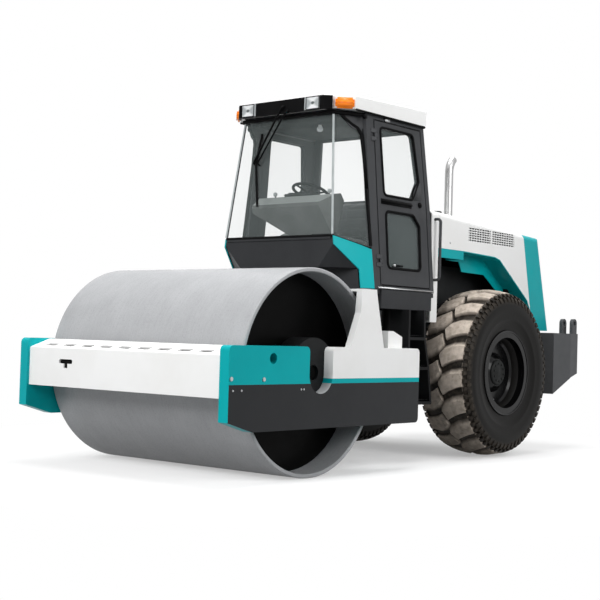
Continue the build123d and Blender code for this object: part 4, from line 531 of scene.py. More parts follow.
def ringTree(name, material):
    # copies the input piece round an axle along y
    tree, given = newTree(name, {"Copies": "Int", "Axle": "Vector", "Start Angle": "Float"})
    points = addNode(tree, "GeometryNodePoints", {"Count": given["Copies"], "Position": given["Axle"]})
    pitch = addNode(tree, "ShaderNodeMath", {0: 2 * math.pi, 1: given["Copies"]}, operation="DIVIDE")
    turn = addNode(tree, "ShaderNodeMath", {
        0: addNode(tree, "GeometryNodeInputIndex"), 1: pitch, 2: given["Start Angle"]}, operation="MULTIPLY_ADD")
    copies = addNode(tree, "GeometryNodeInstanceOnPoints", {
        "Points": points, "Instance": given["Geometry"],
        "Rotation": addNode(tree, "ShaderNodeCombineXYZ", {"Y": turn})})
    return endTree(tree, copies, material)


def rowTree(name, material):
    # copies the input piece in columns and rows
    tree, given = newTree(name, {
        "Columns": "Int", "Rows": "Int", "Start": "Vector", "Column Step": "Vector", "Row Step": "Vector"})
    index = addNode(tree, "GeometryNodeInputIndex")
    total = addNode(tree, "ShaderNodeMath", {0: given["Columns"], 1: given["Rows"]}, operation="MULTIPLY")
    column = addNode(tree, "ShaderNodeMath", {0: index, 1: given["Columns"]}, operation="MODULO")
    share = addNode(tree, "ShaderNodeMath", {0: index, 1: given["Columns"]}, operation="DIVIDE")
    row = addNode(tree, "ShaderNodeMath", {0: share}, operation="FLOOR")
    place = given["Start"]
    for step, number in (("Column Step", column), ("Row Step", row)):
        move = addNode(tree, "ShaderNodeVectorMath", {"Vector": given[step], "Scale": number}, operation="SCALE")
        place = addNode(tree, "ShaderNodeVectorMath", {0: place, 1: move}, operation="ADD")
    points = addNode(tree, "GeometryNodeSetPosition", {
        "Geometry": addNode(tree, "GeometryNodePoints", {"Count": total}), "Position": place})
    copies = addNode(tree, "GeometryNodeInstanceOnPoints", {"Points": points, "Instance": given["Geometry"]})
    return endTree(tree, copies, material)


def inRows(name, mesh, tree, start, end, columns, rows=1, body="rear_machine"):
    # columns fill the way from start to end along x, and rows the way along y
    start, way = Vector(start), Vector(end) - Vector(start)
    applyTree(name, mesh, tree, {
        "Columns": columns, "Rows": rows, "Start": start, "Column Step": (way.x / (columns - 1), 0, 0),
        "Row Step": (0, way.y / max(rows - 1, 1), 0)}, body)


def stripTree(name, material):
    # follows the input's edges with a rounded strip
    tree, given = newTree(name, {"Corner Radius": "Float", "Strip Radius": "Float"})
    eased = addNode(tree, "GeometryNodeFilletCurve", {
        "Curve": addNode(tree, "GeometryNodeMeshToCurve", {0: given["Geometry"]}),
        "Radius": given["Corner Radius"], "Limit Radius": True, "Count": 5}, mode="POLY")
    section = addNode(tree, "GeometryNodeCurvePrimitiveCircle", {
        "Resolution": 10, "Radius": given["Strip Radius"]})
    tube = addNode(tree, "GeometryNodeCurveToMesh", {"Curve": eased, "Profile Curve": section, "Fill Caps": True})
    return endTree(tree, tube, material)


def strip(name, points, radius, tree, body="rear_machine", corner=0.01, closed=False):
    mesh = bpy.data.meshes.new(name)
    edges = [(i, i + 1) for i in range(len(points) - 1)]
    if closed:
        edges.append((len(points) - 1, 0))
    mesh.from_pydata([tuple(p) for p in points], edges, [])
    applyTree(name, mesh, tree, {"Corner Radius": corner, "Strip Radius": radius}, body, True)


# Rear tyres: a carcass, kinked blocks in two staggered rows, and lugs on the shoulders

tread = {
    "blocksPerRow": 19, "rowPhase": 0.875, "upperDraft": 0.070, "lowerDraft": 0.012, "endDraft": 0.010,
    "grooveDepth": 0.036, "rootDepth": 0.004, "ease": 0.003, "columns": 4, "endHeight": 0.006, "endEase": 0.002,
    "wear": 0.001, "lugs": 64, "lugCircle": 0.72,
}
# each block top's two long edges: distance from the middle of the tread, and along the circumference
blockEdges = (((-0.010, 0.040), (0.030, 0.142)), ((0.028, -0.008), (0.081, 0.109)),
              ((0.115, -0.056), (0.154, 0.079)), ((0.194, -0.066), (0.199, 0.068)),
              ((0.222, -0.068), (0.222, 0.066)))
carcassOutline = [
    (0.352, -0.232), (0.400, -0.236), (0.412, -0.247), (0.428, -0.244), (0.470, -0.254), (0.500, -0.262),
    (0.512, -0.268), (0.524, -0.267), (0.580, -0.275), (0.630, -0.2795), (0.642, -0.2765), (0.665, -0.276),
    (0.690, -0.270), (0.708, -0.258), (0.720, -0.242), (0.728, -0.222), (0.738, -0.180), (0.752, -0.100),
    (0.758, -0.040),
]
carcassOutline += [(radius, -y) for radius, y in reversed(carcassOutline)]
carcassOutline += [(0.300, 0.12), (0.300, -0.12), carcassOutline[0]]
# a shoulder lug's section: radius, distance from the middle of the tread, and half width
upperLug = ((0.716, 0.250, 0.010), (0.728, 0.262, 0.014), (0.748, 0.248, 0.018), (0.756, 0.228, 0.020),
            (0.742, 0.216, 0.020), (0.716, 0.222, 0.012))
lowerLug = ((0.664, 0.262, 0.008), (0.674, 0.2795, 0.013), (0.700, 0.2765, 0.018), (0.722, 0.262, 0.015),
            (0.712, 0.240, 0.015), (0.680, 0.250, 0.010))


def crown(y):
    return wheel["radius"] - tread["wear"] - wheel["crownDrop"] * (y / wheel["halfTread"]) ** 2


def aroundAxle(radius, y, angle):
    return radius * math.sin(angle), y, radius * math.cos(angle)


def treadBlock(ySign, turnSign):
    # a worn top with eased edges; the side towards the block above slopes widely, the other is steep
    stations = [(edges, 0.0) for edges in blockEdges]
    stations = [(blockEdges[0], -tread["endDraft"]), *stations, (blockEdges[-1], tread["endDraft"])]
    # share of the way across, depth below the crown or None at the root, and how far the side spreads
    profile = [(0, None, tread["upperDraft"]), (0, tread["ease"], 0)]
    profile += [(i / (tread["columns"] - 1), 0, -tread["ease"]) for i in range(tread["columns"])]
    profile += [(1, tread["ease"], 0), (1, None, tread["lowerDraft"])]
    rows = []
    for number, (((lowY, lowTurn), (highY, highTurn)), outwards) in enumerate(stations):
        base = crown((lowY + highY) / 2 + outwards) - tread["grooveDepth"] - tread["rootDepth"]
        fromEnd = min(number, len(stations) - 1 - number)
        row = []
        for share, depth, spread in profile:
            y = lowY + share * (highY - lowY) + outwards
            turn = lowTurn + share * (highTurn - lowTurn) + spread * (2 * share - 1)
            radius = crown(y) - (depth or 0) - (tread["endEase"] if fromEnd == 1 else 0)
            if depth is None:
                radius = base
            elif fromEnd == 0:
                radius = base + tread["endHeight"]
            row.append(aroundAxle(radius, ySign * y, turnSign * turn / wheel["radius"]))
        rows.append(row)
    return loft(rows)


def shoulderLug(ySign, section, turn):
    # short rough rib between the tread and the smooth side wall
    return loft([[aroundAxle(radius, ySign * y, sign * half / tread["lugCircle"] + turn)
                  for radius, y, half in section] for sign in (-1, 1)])


blockRing = ringTree("tread_ring", dustyRubber)
for sideName, side in sides.items():
    body = "wheel_" + sideName
    axle = (wheel["x"], side * wheel["axleY"], wheel["z"])
    carcass = addPiece("tyre_carcass_" + sideName, lathe(carcassOutline, axle, 120, True), dustyRubber, body)
    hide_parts("tyre_" + sideName)
    for rowName, rowSign in (("outer", 1), ("inner", -1)):
        start = 0.0 if rowSign > 0 else tread["rowPhase"] * 2 * math.pi / tread["blocksPerRow"]
        lugs = joined(shoulderLug(side * rowSign, upperLug, 0),
                      shoulderLug(side * rowSign, lowerLug, math.pi / tread["lugs"]))
        for name, mesh, copies in (("tread_", treadBlock(side * rowSign, rowSign), tread["blocksPerRow"]),
                                   ("shoulder_lugs_", lugs, tread["lugs"])):
            applyTree(f"{name}{rowName}_{sideName}", mesh, blockRing,
                      {"Copies": copies, "Axle": axle, "Start Angle": start}, body)
print("tyres made")


# Wheels: hub cap, nuts, lock ring and valve

hub = {"nuts": 10, "nutCircle": 0.086, "nutRadius": 0.011, "nutHeight": 0.010, "nutsOut": 0.019, "faceY": 0.960,
       "ringY": 1.065, "valveAt": (0.20, -0.25), "valveYs": (1.010, 1.048), "valveRadius": 0.007}
capOutline = [(0.001, 0.026), (0.040, 0.026), (0.046, 0.022), (0.108, 0.020), (0.118, 0.015), (0.1235, 0.006),
              (0.125, -0.001), (0.001, -0.001)]
ringOutline = [(0.3965, -0.004), (0.4035, -0.003), (0.4045, 0.003), (0.400, 0.006), (0.392, 0.005),
               (0.390, 0.001), (0.3965, -0.004)]


def hexNut(side):
    place = Matrix.Translation((0, side * hub["nutHeight"] / 2, hub["nutCircle"]))
    place = place @ Matrix.Rotation(math.radians(90), 4, "X")
    return softEdges(meshFrom(lambda bm: bmesh.ops.create_cone(
        bm, segments=6, radius1=hub["nutRadius"], radius2=hub["nutRadius"], depth=hub["nutHeight"],
        cap_ends=True, matrix=place)), 0.0015, 1)


nutRing = ringTree("nut_ring", hubGrey)
for sideName, side in sides.items():
    body = "wheel_" + sideName
    cap, ring = (lathe([(r, side * out) for r, out in outline], (wheel["x"], side * y, wheel["z"]), steps, True)
                 for outline, y, steps in ((capOutline, hub["faceY"], 64), (ringOutline, hub["ringY"], 128)))
    addPiece("hub_cap_" + sideName, cap, hubGrey, body)
    applyTree("wheel_nuts_" + sideName, hexNut(side), nutRing, {
        "Copies": hub["nuts"], "Axle": (wheel["x"], side * (hub["faceY"] + hub["nutsOut"]), wheel["z"]),
        "Start Angle": 0.1}, body)
    addPiece("rim_lock_ring_" + sideName, ring, rimBlack, body)
    valveX, valveZ = wheel["x"] + hub["valveAt"][0], wheel["z"] + hub["valveAt"][1]
    valve = rod(*[(valveX, side * y, valveZ) for y in hub["valveYs"]], hub["valveRadius"], 12)
    addPiece("tyre_valve_" + sideName, valve, zincSteel, body)
print("wheels finished")


# Doors: window seals, edge seals, handles, locks, the lower windows' catches

cabWall = {"sillY": 0.778, "headY": 0.645, "sillZ": 1.511, "headZ": 3.045}
leanAngle = math.atan2(cabWall["sillY"] - cabWall["headY"], cabWall["headZ"] - cabWall["sillZ"])
doorWindows = {
    "upper": ((0.393, 2.945), (-0.110, 2.945), (-0.172, 2.520), (-0.060, 2.345), (0.376, 2.345)),
    "lower": ((0.360, 2.205), (-0.060, 2.205), (-0.150, 2.110), (-0.140, 1.705), (0.364, 1.705)),
}
doorEdge = ((0.4745, 1.5555), (0.4745, 2.9965), (-0.2310, 2.9965), (-0.2765, 2.283), (-0.2765, 1.5555))
doorTrim = {"sealRadius": 0.012, "sealCorner": 0.045, "edgeRadius": 0.005, "edgeCorner": 0.02,
            "handleZ": 2.287, "handleXs": (-0.020, 0.405), "handleOut": 0.030, "handleRadius": 0.009,
            "pocketRim": 0.02, "pocketHalf": 0.024, "lockAt": (-0.172, 2.308), "catchAt": (0.262, 1.732)}
# the cover's rounded edge turns about humpAt; its straight corners lie below and behind
lockCover = {"humpAt": (-0.232, 2.345), "humpRadius": 0.178, "corners": [(-0.205, 2.350), (-0.205, 2.512)]}
hump = [(lockCover["humpAt"][0] + lockCover["humpRadius"] * math.sin(math.radians(angle)),
         lockCover["humpAt"][1] + lockCover["humpRadius"] * math.cos(math.radians(angle)))
        for angle in range(20, 100, 10)]


def wallPoint(x, z, side, out=0.0):
    y = cabWall["sillY"] - (z - cabWall["sillZ"]) * math.tan(leanAngle)
    return Vector((x, side * (y + out * math.cos(leanAngle)), z + out * math.sin(leanAngle)))


def plateOn(side, corners, depth, out=0.0, bevel=0.003):
    # a flat plate with the given corners on the leaning side wall
    levels = (out, out + depth)
    return softEdges(loft([[wallPoint(x, z, side, level) for x, z in corners] for level in levels]), bevel)


def boxOn(side, low, high, depth, out=0.0, bevel=0.003):
    return plateOn(side, (low, (high[0], low[1]), high, (low[0], high[1])), depth, out, bevel)


def knobOn(side, x, z, low, high, radius, steps):
    return rod(wallPoint(x, z, side, low), wallPoint(x, z, side, high), radius, steps)


rubberStrip = stripTree("rubber_strip", gasketRubber)
plasticBar = stripTree("plastic_bar", blackPlastic)
sealantStrip = stripTree("glazing_sealant", sealGrey)
for sideName, side in sides.items():
    body = sideName + "_door"
    for windowName, corners in doorWindows.items():
        strip(f"seal_{windowName}_{sideName}", [wallPoint(x, z, side, 0.001) for x, z in corners],
              doorTrim["sealRadius"], rubberStrip, body, doorTrim["sealCorner"], True)
    strip("door_edge_seal_" + sideName, [wallPoint(x, z, side, -0.004) for x, z in doorEdge],
          doorTrim["edgeRadius"], rubberStrip, body, doorTrim["edgeCorner"], True)
    top, (rearX, frontX) = doorTrim["handleZ"], doorTrim["handleXs"]
    rim, half = doorTrim["pocketRim"], doorTrim["pocketHalf"]
    pocket = boxOn(side, (rearX - rim, top - half), (frontX + rim, top + half), 0.005, 0.0005, 0.002)
    addPiece("handle_pocket_" + sideName, pocket, gasketRubber, body)
    out = doorTrim["handleOut"]
    handle = [wallPoint(x, top, side, level) for x, level in ((frontX, 0), (frontX, out), (rearX, out), (rearX, 0))]
    strip("door_handle_" + sideName, handle, doorTrim["handleRadius"], plasticBar, body, 0.02)
    collar = knobOn(side, *doorTrim["lockAt"], 0, 0.012, 0.026, 28)
    barrel = knobOn(side, *doorTrim["lockAt"], 0.01, 0.019, 0.014, 20)
    addPiece("door_lock_" + sideName, joined(collar, barrel), blackPlastic, body)
    cover = plateOn(side, lockCover["corners"] + hump, 0.005, 0.001, 0.001)
    addPiece("lock_cover_" + sideName, cover, cabCharcoal, body)
    strip("lock_cover_edge_" + sideName, [wallPoint(x, z, side, 0.004) for x, z in hump], 0.007, rubberStrip, body,
          0.02)
    catchX, catchZ = doorTrim["catchAt"]
    addPiece("window_catch_" + sideName, knobOn(side, catchX, catchZ, -0.012, 0.010, 0.011, 24), zincSteel, body)
    lever = boxOn(side, (catchX - 0.13, catchZ - 0.008), (catchX - 0.02, catchZ + 0.008), 0.008, -0.004)
    addPiece("window_catch_lever_" + sideName, lever, blackPlastic, body)
print("door fittings made")


# Cab outside: glazing seals, sill strips, roof gasket, clips, wiper

screen = {"foot": (0.965, 0.608, 1.948), "head": (0.864, 0.505, 3.020)}
quarterSeal = ((0.960, 0.611, 1.944), (0.596, 0.745, 1.856))
roofGutter = ((0.760, 0.672, 3.040), (-0.292, 0.672, 3.040), (-0.306, 0.60, 3.040))
gussetCurve = ((0.805, 0.534, 3.016), (0.765, 0.552, 2.975), (0.705, 0.578, 2.932), (0.645, 0.603, 2.902),
               (0.612, 0.619, 2.850), (0.604, 0.651, 2.634), (0.604, 0.6845, 2.373), (0.604, 0.724, 2.066),
               (0.604, 0.748, 1.880))
gusset = {"curvePoints": 5, "corner": (0.598, 0.603, 3.022), "thickness": 0.004,
          "outwards": (0.317, 0.941, 0.121), "knobAt": (0.635, 2.997), "knobRadius": 0.021}


def screenPoint(y, z, out=0.0):
    (footX, _, footZ), (headX, _, headZ) = screen["foot"], screen["head"]
    return Vector((footX + (z - footZ) / (headZ - footZ) * (headX - footX) + out, y, z))


def mirrored(points, side):
    return [Vector((x, side * y, z)) for x, y, z in points]


strip("windscreen_foot_seal", [screenPoint(side * screen["foot"][1], screen["foot"][2] - 0.004)
                               for side in (-1, 1)], 0.014, rubberStrip)
for sideName, side in sides.items():
    strip("quarter_glass_seal_" + sideName, mirrored(quarterSeal, side), 0.010, rubberStrip)
    seam = [Vector(screen["foot"]) + Vector((0.004, 0.004, 0.01)),
            Vector(screen["head"]) + Vector((0.004, 0.004, -0.01))]
    strip("windscreen_seam_" + sideName, mirrored(seam, side), 0.010, sealantStrip)
    sill = boxOn(side, (-0.330, 1.520), (0.520, 1.532), 0.010, -0.001, 0.002)
    addPiece("door_sill_strip_" + sideName, sill, zincSteel)
    strip("roof_gasket_" + sideName, mirrored(roofGutter, side), 0.009, rubberStrip, corner=0.03)
    knob = knobOn(side, *gusset["knobAt"], 0.010, 0.034, gusset["knobRadius"], 24)
    addPiece("gusset_knob_" + sideName, knob, blackPlastic)
    clip = boxOn(side, (0.255, 3.006), (0.325, 3.030), 0.020, -0.002)
    addPiece("roof_clip_" + sideName, clip, zincSteel)
    strip("pillar_seal_" + sideName, mirrored(gussetCurve, side), 0.015, rubberStrip, corner=0.04)
    inner = mirrored([*gussetCurve[:gusset["curvePoints"]], gusset["corner"]], side)
    depth = mirrored([gusset["outwards"]], side)[0] * gusset["thickness"]
    plate = loft([inner, [point + depth for point in inner]])
    addPiece("pillar_gusset_" + sideName, plate, cabCharcoal, smooth=False)
headSeal = [(0.600, -0.640, 3.020), (0.888, -0.520, 3.014), (0.888, 0.520, 3.014), (0.600, 0.640, 3.020)]
strip("windscreen_head_seal", headSeal, 0.016, rubberStrip, corner=0.03)

wiper = {"arms": {"wiper_arm": ((0.996, 0.044, 3.084), (-0.330, 2.622), 0.010),
                  "wiper_guide_arm": ((0.996, 0.091, 3.040), (-0.285, 2.618), 0.008)},
         "blade": ((-0.284, 2.890, 0.014), (-0.322, 2.610, 0.018), (-0.263, 2.230, 0.014)),
         "bladeRadius": 0.011, "spindleXs": (0.984, 1.004), "spindleRadius": 0.016}
for name, (pivot, (elbowY, elbowZ), radius) in wiper["arms"].items():
    stub = Vector((0.012, 0, 0))
    arm = [Vector(pivot) - stub, Vector(pivot) + stub, screenPoint(elbowY, elbowZ, 0.042),
           screenPoint(elbowY + 0.01, elbowZ - 0.02, 0.016)]
    strip(name, arm, radius, plasticBar, corner=0.015)
blade = [screenPoint(*point) for point in wiper["blade"]]
strip("wiper_blade", blade, wiper["bladeRadius"], plasticBar, corner=0.2)
spindles = [rod(*[(x, y, z) for x in wiper["spindleXs"]], wiper["spindleRadius"])
            for (_, y, z), _, _ in wiper["arms"].values()]
addPiece("wiper_spindles", joined(*spindles), blackPlastic)


# Lamps: bezels round the headlamps, and amber markers on the roof's shoulders

bezel = {"width": 0.007, "depth": 0.005, "sunk": 0.003}
marker = {"low": (-0.082, -0.022, -0.047), "high": (0.082, 0.026, 0.047), "at": (0.846, 0.612, 3.088),
          "turn": -45.6, "bevel": 0.016}
for sideName, side in sides.items():
    lowY, highY = sorted((lampHigh.y * side, (lampHigh.y - 2 * headlamp["halfWidth"]) * side))
    width = bezel["width"]
    bars = [block((lampHigh.x - bezel["sunk"], *low), (lampHigh.x + bezel["depth"], *high), 0.002)
            for low, high in (((lowY, lampLow.z), (highY, lampLow.z + width)),
                              ((lowY, lampHigh.z - width), (highY, lampHigh.z)),
                              ((lowY, lampLow.z), (lowY + width, lampHigh.z)),
                              ((highY - width, lampLow.z), (highY, lampHigh.z)))]
    addPiece("headlamp_bezel_" + sideName, joined(*bars), blackPlastic)
    lens = block(marker["low"], marker["high"], marker["bevel"])
    turn = Matrix.Rotation(side * math.radians(marker["turn"]), 4, "Z") @ Matrix.Scale(side, 4, (0, 1, 0))
    lens.transform(Matrix.Translation(mirrored([marker["at"]], side)[0]) @ turn)
    amber = addPiece("marker_lamp_" + sideName, joined(lens), amberLens)
    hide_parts("marker_lamps")
print("cab outside finished")


# Cab inside: headliner, lamp, levers, gauges and floor mat

liner = {"zs": (3.012, 3.032), "rearX": -0.250, "cornerX": 0.600, "frontX": 0.800, "half": 0.560,
         "frontHalf": 0.430}
linerCorners = [(liner["rearX"], liner["half"]), (liner["cornerX"], liner["half"]),
                (liner["frontX"], liner["frontHalf"])]
linerCorners += [(x, -y) for x, y in reversed(linerCorners)]
headliner = softEdges(loft([[(x, y, z) for x, y in linerCorners] for z in liner["zs"]]), 0.006)
addPiece("headliner", headliner, trimPlastic)
domeOutline = [(0.016, 0.0), (0.016, -0.012), (0.024, -0.022), (0.029, -0.036), (0.027, -0.050), (0.018, -0.060),
               (0.001, -0.064), (0.001, 0.0)]
addPiece("dome_lamp", lathe(domeOutline, (0.444, 0.017, liner["zs"][0])), lampLens)

gauges = {"x": 0.655, "ys": (-0.110, 0.0, 0.110), "z": 2.361, "radius": 0.038}
addPiece("gauge_panel", block((0.612, -0.175, 2.335), (0.712, 0.175, 2.362), 0.012), trimPlastic)
gaugeOutline = [(gauges["radius"] - inset, rise) for inset, rise in (
    (0, 0), (0, 0.010), (0.006, 0.012), (0.010, 0.006))] + [(0.001, 0.006), (0.001, 0.0)]
faces = [lathe(gaugeOutline, (gauges["x"], y, gauges["z"]), 32) for y in gauges["ys"]]
addPiece("gauge_faces", joined(*faces), blackPlastic)
levers = {"travel_lever": (0.66, 0.315, 0.010, 0.030), "throttle_lever": (0.66, -0.300, -0.010, 0.026)}
knobOutline = [(0.001, -0.020), (0.011, -0.017), (0.018, -0.008), (0.020, 0.0), (0.017, 0.010), (0.009, 0.018),
               (0.001, 0.020)]
for name, (x, y, lean, height) in levers.items():
    foot = Vector((x, y, 2.33))
    head = foot + Vector((-lean, 0, height))
    strip(name + "_stalk", [foot, head], 0.006, plasticBar)
    addPiece(name + "_knob", lathe(knobOutline, head + Vector((0, 0, 0.012)), 24), sealGrey)

steer = {"centre": (0.548, 0.012, 2.392), "radius": 0.160, "tube": 0.0135, "tilt": 20, "spokes": (100, 220, 340),
         "grips": 24, "gripDepth": 0.06, "steps": 64, "sectionSteps": 14}
steerPlace = Matrix.Translation(steer["centre"]) @ Matrix.Rotation(math.radians(-steer["tilt"]), 4, "Y")


def steeringRing(turn):
    # one section of the rim, which swells and thins as finger grips do
    swell = steer["tube"] * (1 + steer["gripDepth"] * math.cos(turn * steer["grips"]))
    section = []
    for j in range(steer["sectionSteps"]):
        a = 2 * math.pi * j / steer["sectionSteps"]
        radius = steer["radius"] + swell * math.cos(a)
        section.append(steerPlace @ Vector((radius * math.cos(turn), radius * math.sin(turn),
                                            steer["tube"] * math.sin(a))))
    return section


steerRim = loft([steeringRing(2 * math.pi * i / steer["steps"]) for i in range(steer["steps"] + 1)], False)
spokes = []
for angle in steer["spokes"]:
    way = Vector((math.cos(math.radians(angle)), math.sin(math.radians(angle)), 0))
    spokes.append(rod(steerPlace @ (way * 0.02 + Vector((0, 0, -0.020))), steerPlace @ (way * steer["radius"]),
                      0.009, 12))
boss = lathe([(0.001, -0.050), (0.026, -0.050), (0.034, -0.036), (0.040, -0.016), (0.036, -0.006), (0.020, 0.0),
              (0.001, 0.002)], (0, 0, 0), 32)
boss.transform(steerPlace)
column = rod(steerPlace @ Vector((0, 0, -0.045)), steerPlace @ Vector((0, 0, -0.115)), 0.024, 24)
wheelPiece = addPiece("steering_wheel_rim", joined(steerRim, *spokes, boss, column), blackPlastic)
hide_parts("steering_wheel")

mat = {"rearX": 0.260, "frontX": 0.600, "half": 0.560, "z": 1.5115, "thickness": 0.006, "ribs": 15,
       "ribHalf": 0.006, "ribZs": (0.004, 0.010), "edge": 0.03, "ribInset": 0.02}
addPiece("floor_mat", block((mat["rearX"], -mat["half"], mat["z"]),
                            (mat["frontX"], mat["half"], mat["z"] + mat["thickness"])), matRubber)
ribY, (ribLow, ribHigh) = mat["half"] - mat["edge"], mat["ribZs"]
rib = block((-mat["ribHalf"], -ribY, mat["z"] + ribLow), (mat["ribHalf"], ribY, mat["z"] + ribHigh), 0.002)
inRows("floor_mat_ribs", rib, rowTree("mat_ribs", matRubber), (mat["rearX"] + mat["ribInset"], 0, 0),
       (mat["frontX"] - mat["ribInset"], 0, 0), mat["ribs"])
print("cab inside finished")


# Driver's seat: a padded squab and back on a bellows suspension

seat = {"voxel": 0.011, "pressure": 4.0, "frames": 20, "cap": 0.014, "channels": 3, "channelWidth": 0.009,
        "channelDepth": 0.006}


def padMesh(size, matrix, pinch):
    # a box whose sides pull in between its corners and whose top is crowned, set in place by matrix
    def fill(bm):
        bmesh.ops.create_cube(bm, size=1)
        bmesh.ops.subdivide_edges(bm, edges=bm.edges[:], cuts=9, use_grid_fill=True)
        for vert in bm.verts:
            u, v, w = (2 * c for c in vert.co)
            corner = 1 - 0.10 * (u * v) ** 4 - 0.06 * (u * w) ** 4 - 0.06 * (v * w) ** 4
            across = 1 - pinch * (1 - v * v) * abs(u) ** 6
            along = 1 - pinch * (1 - u * u) * abs(v) ** 6
            crowned = w * (0.72 + 0.28 * (1 - u ** 4) * (1 - v ** 4)) if w > 0 else w * 0.9
            vert.co = (u * size[0] / 2 * corner * across, v * size[1] / 2 * corner * along,
                       crowned * size[2] / 2)
        bm.transform(matrix)
    return meshFrom(fill)


def inflate(name, mesh):
    # remeshes the pad, blows it up a little with cloth pressure and keeps the result
    pad = bpy.data.objects.new(name, mesh)
    bpy.context.collection.objects.link(pad)
    remesh = pad.modifiers.new("even", "REMESH")
    remesh.mode = "VOXEL"
    remesh.voxel_size = seat["voxel"]
    graph = bpy.context.evaluated_depsgraph_get()
    even = bpy.data.meshes.new_from_object(pad.evaluated_get(graph))
    pad.modifiers.clear()
    pad.data = even
    before = [v.co.copy() for v in even.vertices]
    cloth = pad.modifiers.new("stuffing", "CLOTH")
    cloth.settings.use_pressure = True
    cloth.settings.uniform_pressure_force = seat["pressure"]
    cloth.settings.effector_weights.gravity = 0
    scene = bpy.context.scene
    for number in range(1, seat["frames"] + 1):
        scene.frame_set(number)
    graph = bpy.context.evaluated_depsgraph_get()
    blown = bpy.data.meshes.new_from_object(pad.evaluated_get(graph))
    pad.modifiers.clear()
    scene.frame_set(1)
    for vert, old in zip(blown.vertices, before):
        move = vert.co - old
        if move.length > seat["cap"]:
            vert.co = old + move * (seat["cap"] / move.length)
    pad.data = blown
    smooth = pad.modifiers.new("smooth", "SUBSURF")
    smooth.levels = smooth.render_levels = 1
    graph = bpy.context.evaluated_depsgraph_get()
    done = bpy.data.meshes.new_from_object(pad.evaluated_get(graph))
    bpy.data.objects.remove(pad)
    done.name = name
    return done


def sewChannels(mesh, matrix, length):
    # sewn channels run across the pad: points near each seam line sink
    inverse = matrix.inverted()
    for vert in mesh.vertices:
        local = inverse @ vert.co
        for i in range(seat["channels"]):
            line = length * ((i + 1) / (seat["channels"] + 1) - 0.5)
            near = abs(local.x - line) / seat["channelWidth"]
            if near < 3 and local.z > 0:
                local.z -= seat["channelDepth"] * math.exp(-near * near)
        vert.co = matrix @ local


# each pad's middle, lean in degrees, size and how far its sides pull in
pads = {
    "seat_squab": ((0.075, 0, 1.945), -3, (0.490, 0.430, 0.105), 0.030),
    "seat_back": ((-0.155, 0, 2.195), 75, (0.370, 0.420, 0.100), 0.035),
}
for name, (middle, lean, size, pinch) in pads.items():
    place = Matrix.Translation(middle) @ Matrix.Rotation(math.radians(lean), 4, "Y")
    mesh = inflate(name, padMesh(size, place, pinch))
    sewChannels(mesh, place, size[0])
    pad = addPiece(name, mesh, seatCloth)
    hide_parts("seat")
shell = block((-0.215, -0.205, 1.882), (0.290, 0.205, 1.905), 0.010)
backShell = block((-0.012, -0.200, -0.165), (0.012, 0.200, 0.165), 0.010)
backShell.transform(Matrix.Translation((-0.212, 0, 2.18)) @ Matrix.Rotation(math.radians(-15), 4, "Y"))
addPiece("seat_shells", joined(shell, backShell), seatVinyl)
bellows = {"folds": 9, "pitch": 0.030, "foot": 0.080, "radii": (0.150, 0.168), "topFrom": 0.365, "top": 0.386}
bellowsOutline = [(0.001, bellows["foot"] - 0.005)]
for i in range(bellows["folds"]):
    low = bellows["foot"] + i * bellows["pitch"]
    bellowsOutline += [(bellows["radii"][0], low), (bellows["radii"][1], low + bellows["pitch"] / 2)]
bellowsOutline += [(bellows["radii"][0], bellows["topFrom"]), (bellows["radii"][0], bellows["top"]),
                   (0.001, bellows["top"])]
addPiece("seat_bellows", lathe(bellowsOutline, (0.040, 0.0, 1.5), 48), gasketRubber)
addPiece("seat_base", block((-0.170, -0.180, 1.5115), (0.250, 0.180, 1.578), 0.010), frameBlack)
print("seat made")


# Hood: grille bars, dark mesh behind the slots, latches, filler cap, exhaust clamp, radiator core

grille = {"frontX": -0.962, "rearX": -1.853, "lowZ": 2.040, "highZ": 2.186, "faceY": 0.736, "bars": 19,
          "barHalf": 0.0028, "barY": 0.731, "barHalfDepth": 0.004, "barGap": 0.002, "endGap": 0.028,
          "meshY": 0.722, "meshHalf": 0.002, "meshLap": 0.01}
latch = {"x": -0.655, "z": 2.002, "radius": 0.010, "height": 0.005}
barTree = rowTree("grille_bars", whiteEnamel)
for sideName, side in sides.items():
    lap, thin = grille["meshLap"], grille["meshHalf"]
    backing = block((grille["rearX"] - lap, side * grille["meshY"] - thin, grille["lowZ"]),
                    (grille["frontX"] + lap, side * grille["meshY"] + thin, grille["highZ"]), 0.001)
    addPiece("grille_mesh_" + sideName, backing, gasketRubber, "hood", False)
    y, thin = side * grille["barY"], grille["barHalfDepth"]
    bar = block((-grille["barHalf"], y - thin, grille["lowZ"] + grille["barGap"]),
                (grille["barHalf"], y + thin, grille["highZ"] - grille["barGap"]), 0.001)
    inRows("grille_bars_" + sideName, bar, barTree, (grille["rearX"] + grille["endGap"], 0, 0),
           (grille["frontX"] - grille["endGap"], 0, 0), grille["bars"], body="hood")
    ends = [(latch["x"], side * (grille["faceY"] + rise), latch["z"]) for rise in (0, latch["height"])]
    addPiece("hood_latch_" + sideName, rod(*ends, latch["radius"], 24), zincSteel, "hood")

exhaustLow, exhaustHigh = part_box("exhaust_pipe")
clampAt = (exhaustHigh.x - 0.056, (exhaustLow.y + exhaustHigh.y) / 2, exhaustLow.z + 0.035)
cap = lathe([(0.001, 0.0), (0.046, 0.0), (0.046, 0.022), (0.040, 0.030), (0.001, 0.032)], (-0.540, 0.655, 2.262))
addPiece("filler_cap", cap, blackPlastic, "hood")
clamp = lathe([(0.001, 0.0), (0.062, 0.0), (0.062, 0.010), (0.052, 0.016), (0.050, 0.034), (0.001, 0.036)],
              clampAt, 48)
addPiece("exhaust_clamp", clamp, exhaustSteel, "hood")
addPiece("radiator_core", block((-2.000, -0.600, 1.300), (-1.960, 0.600, 2.080), 0.01), gasketRubber)
print("hood fittings made")
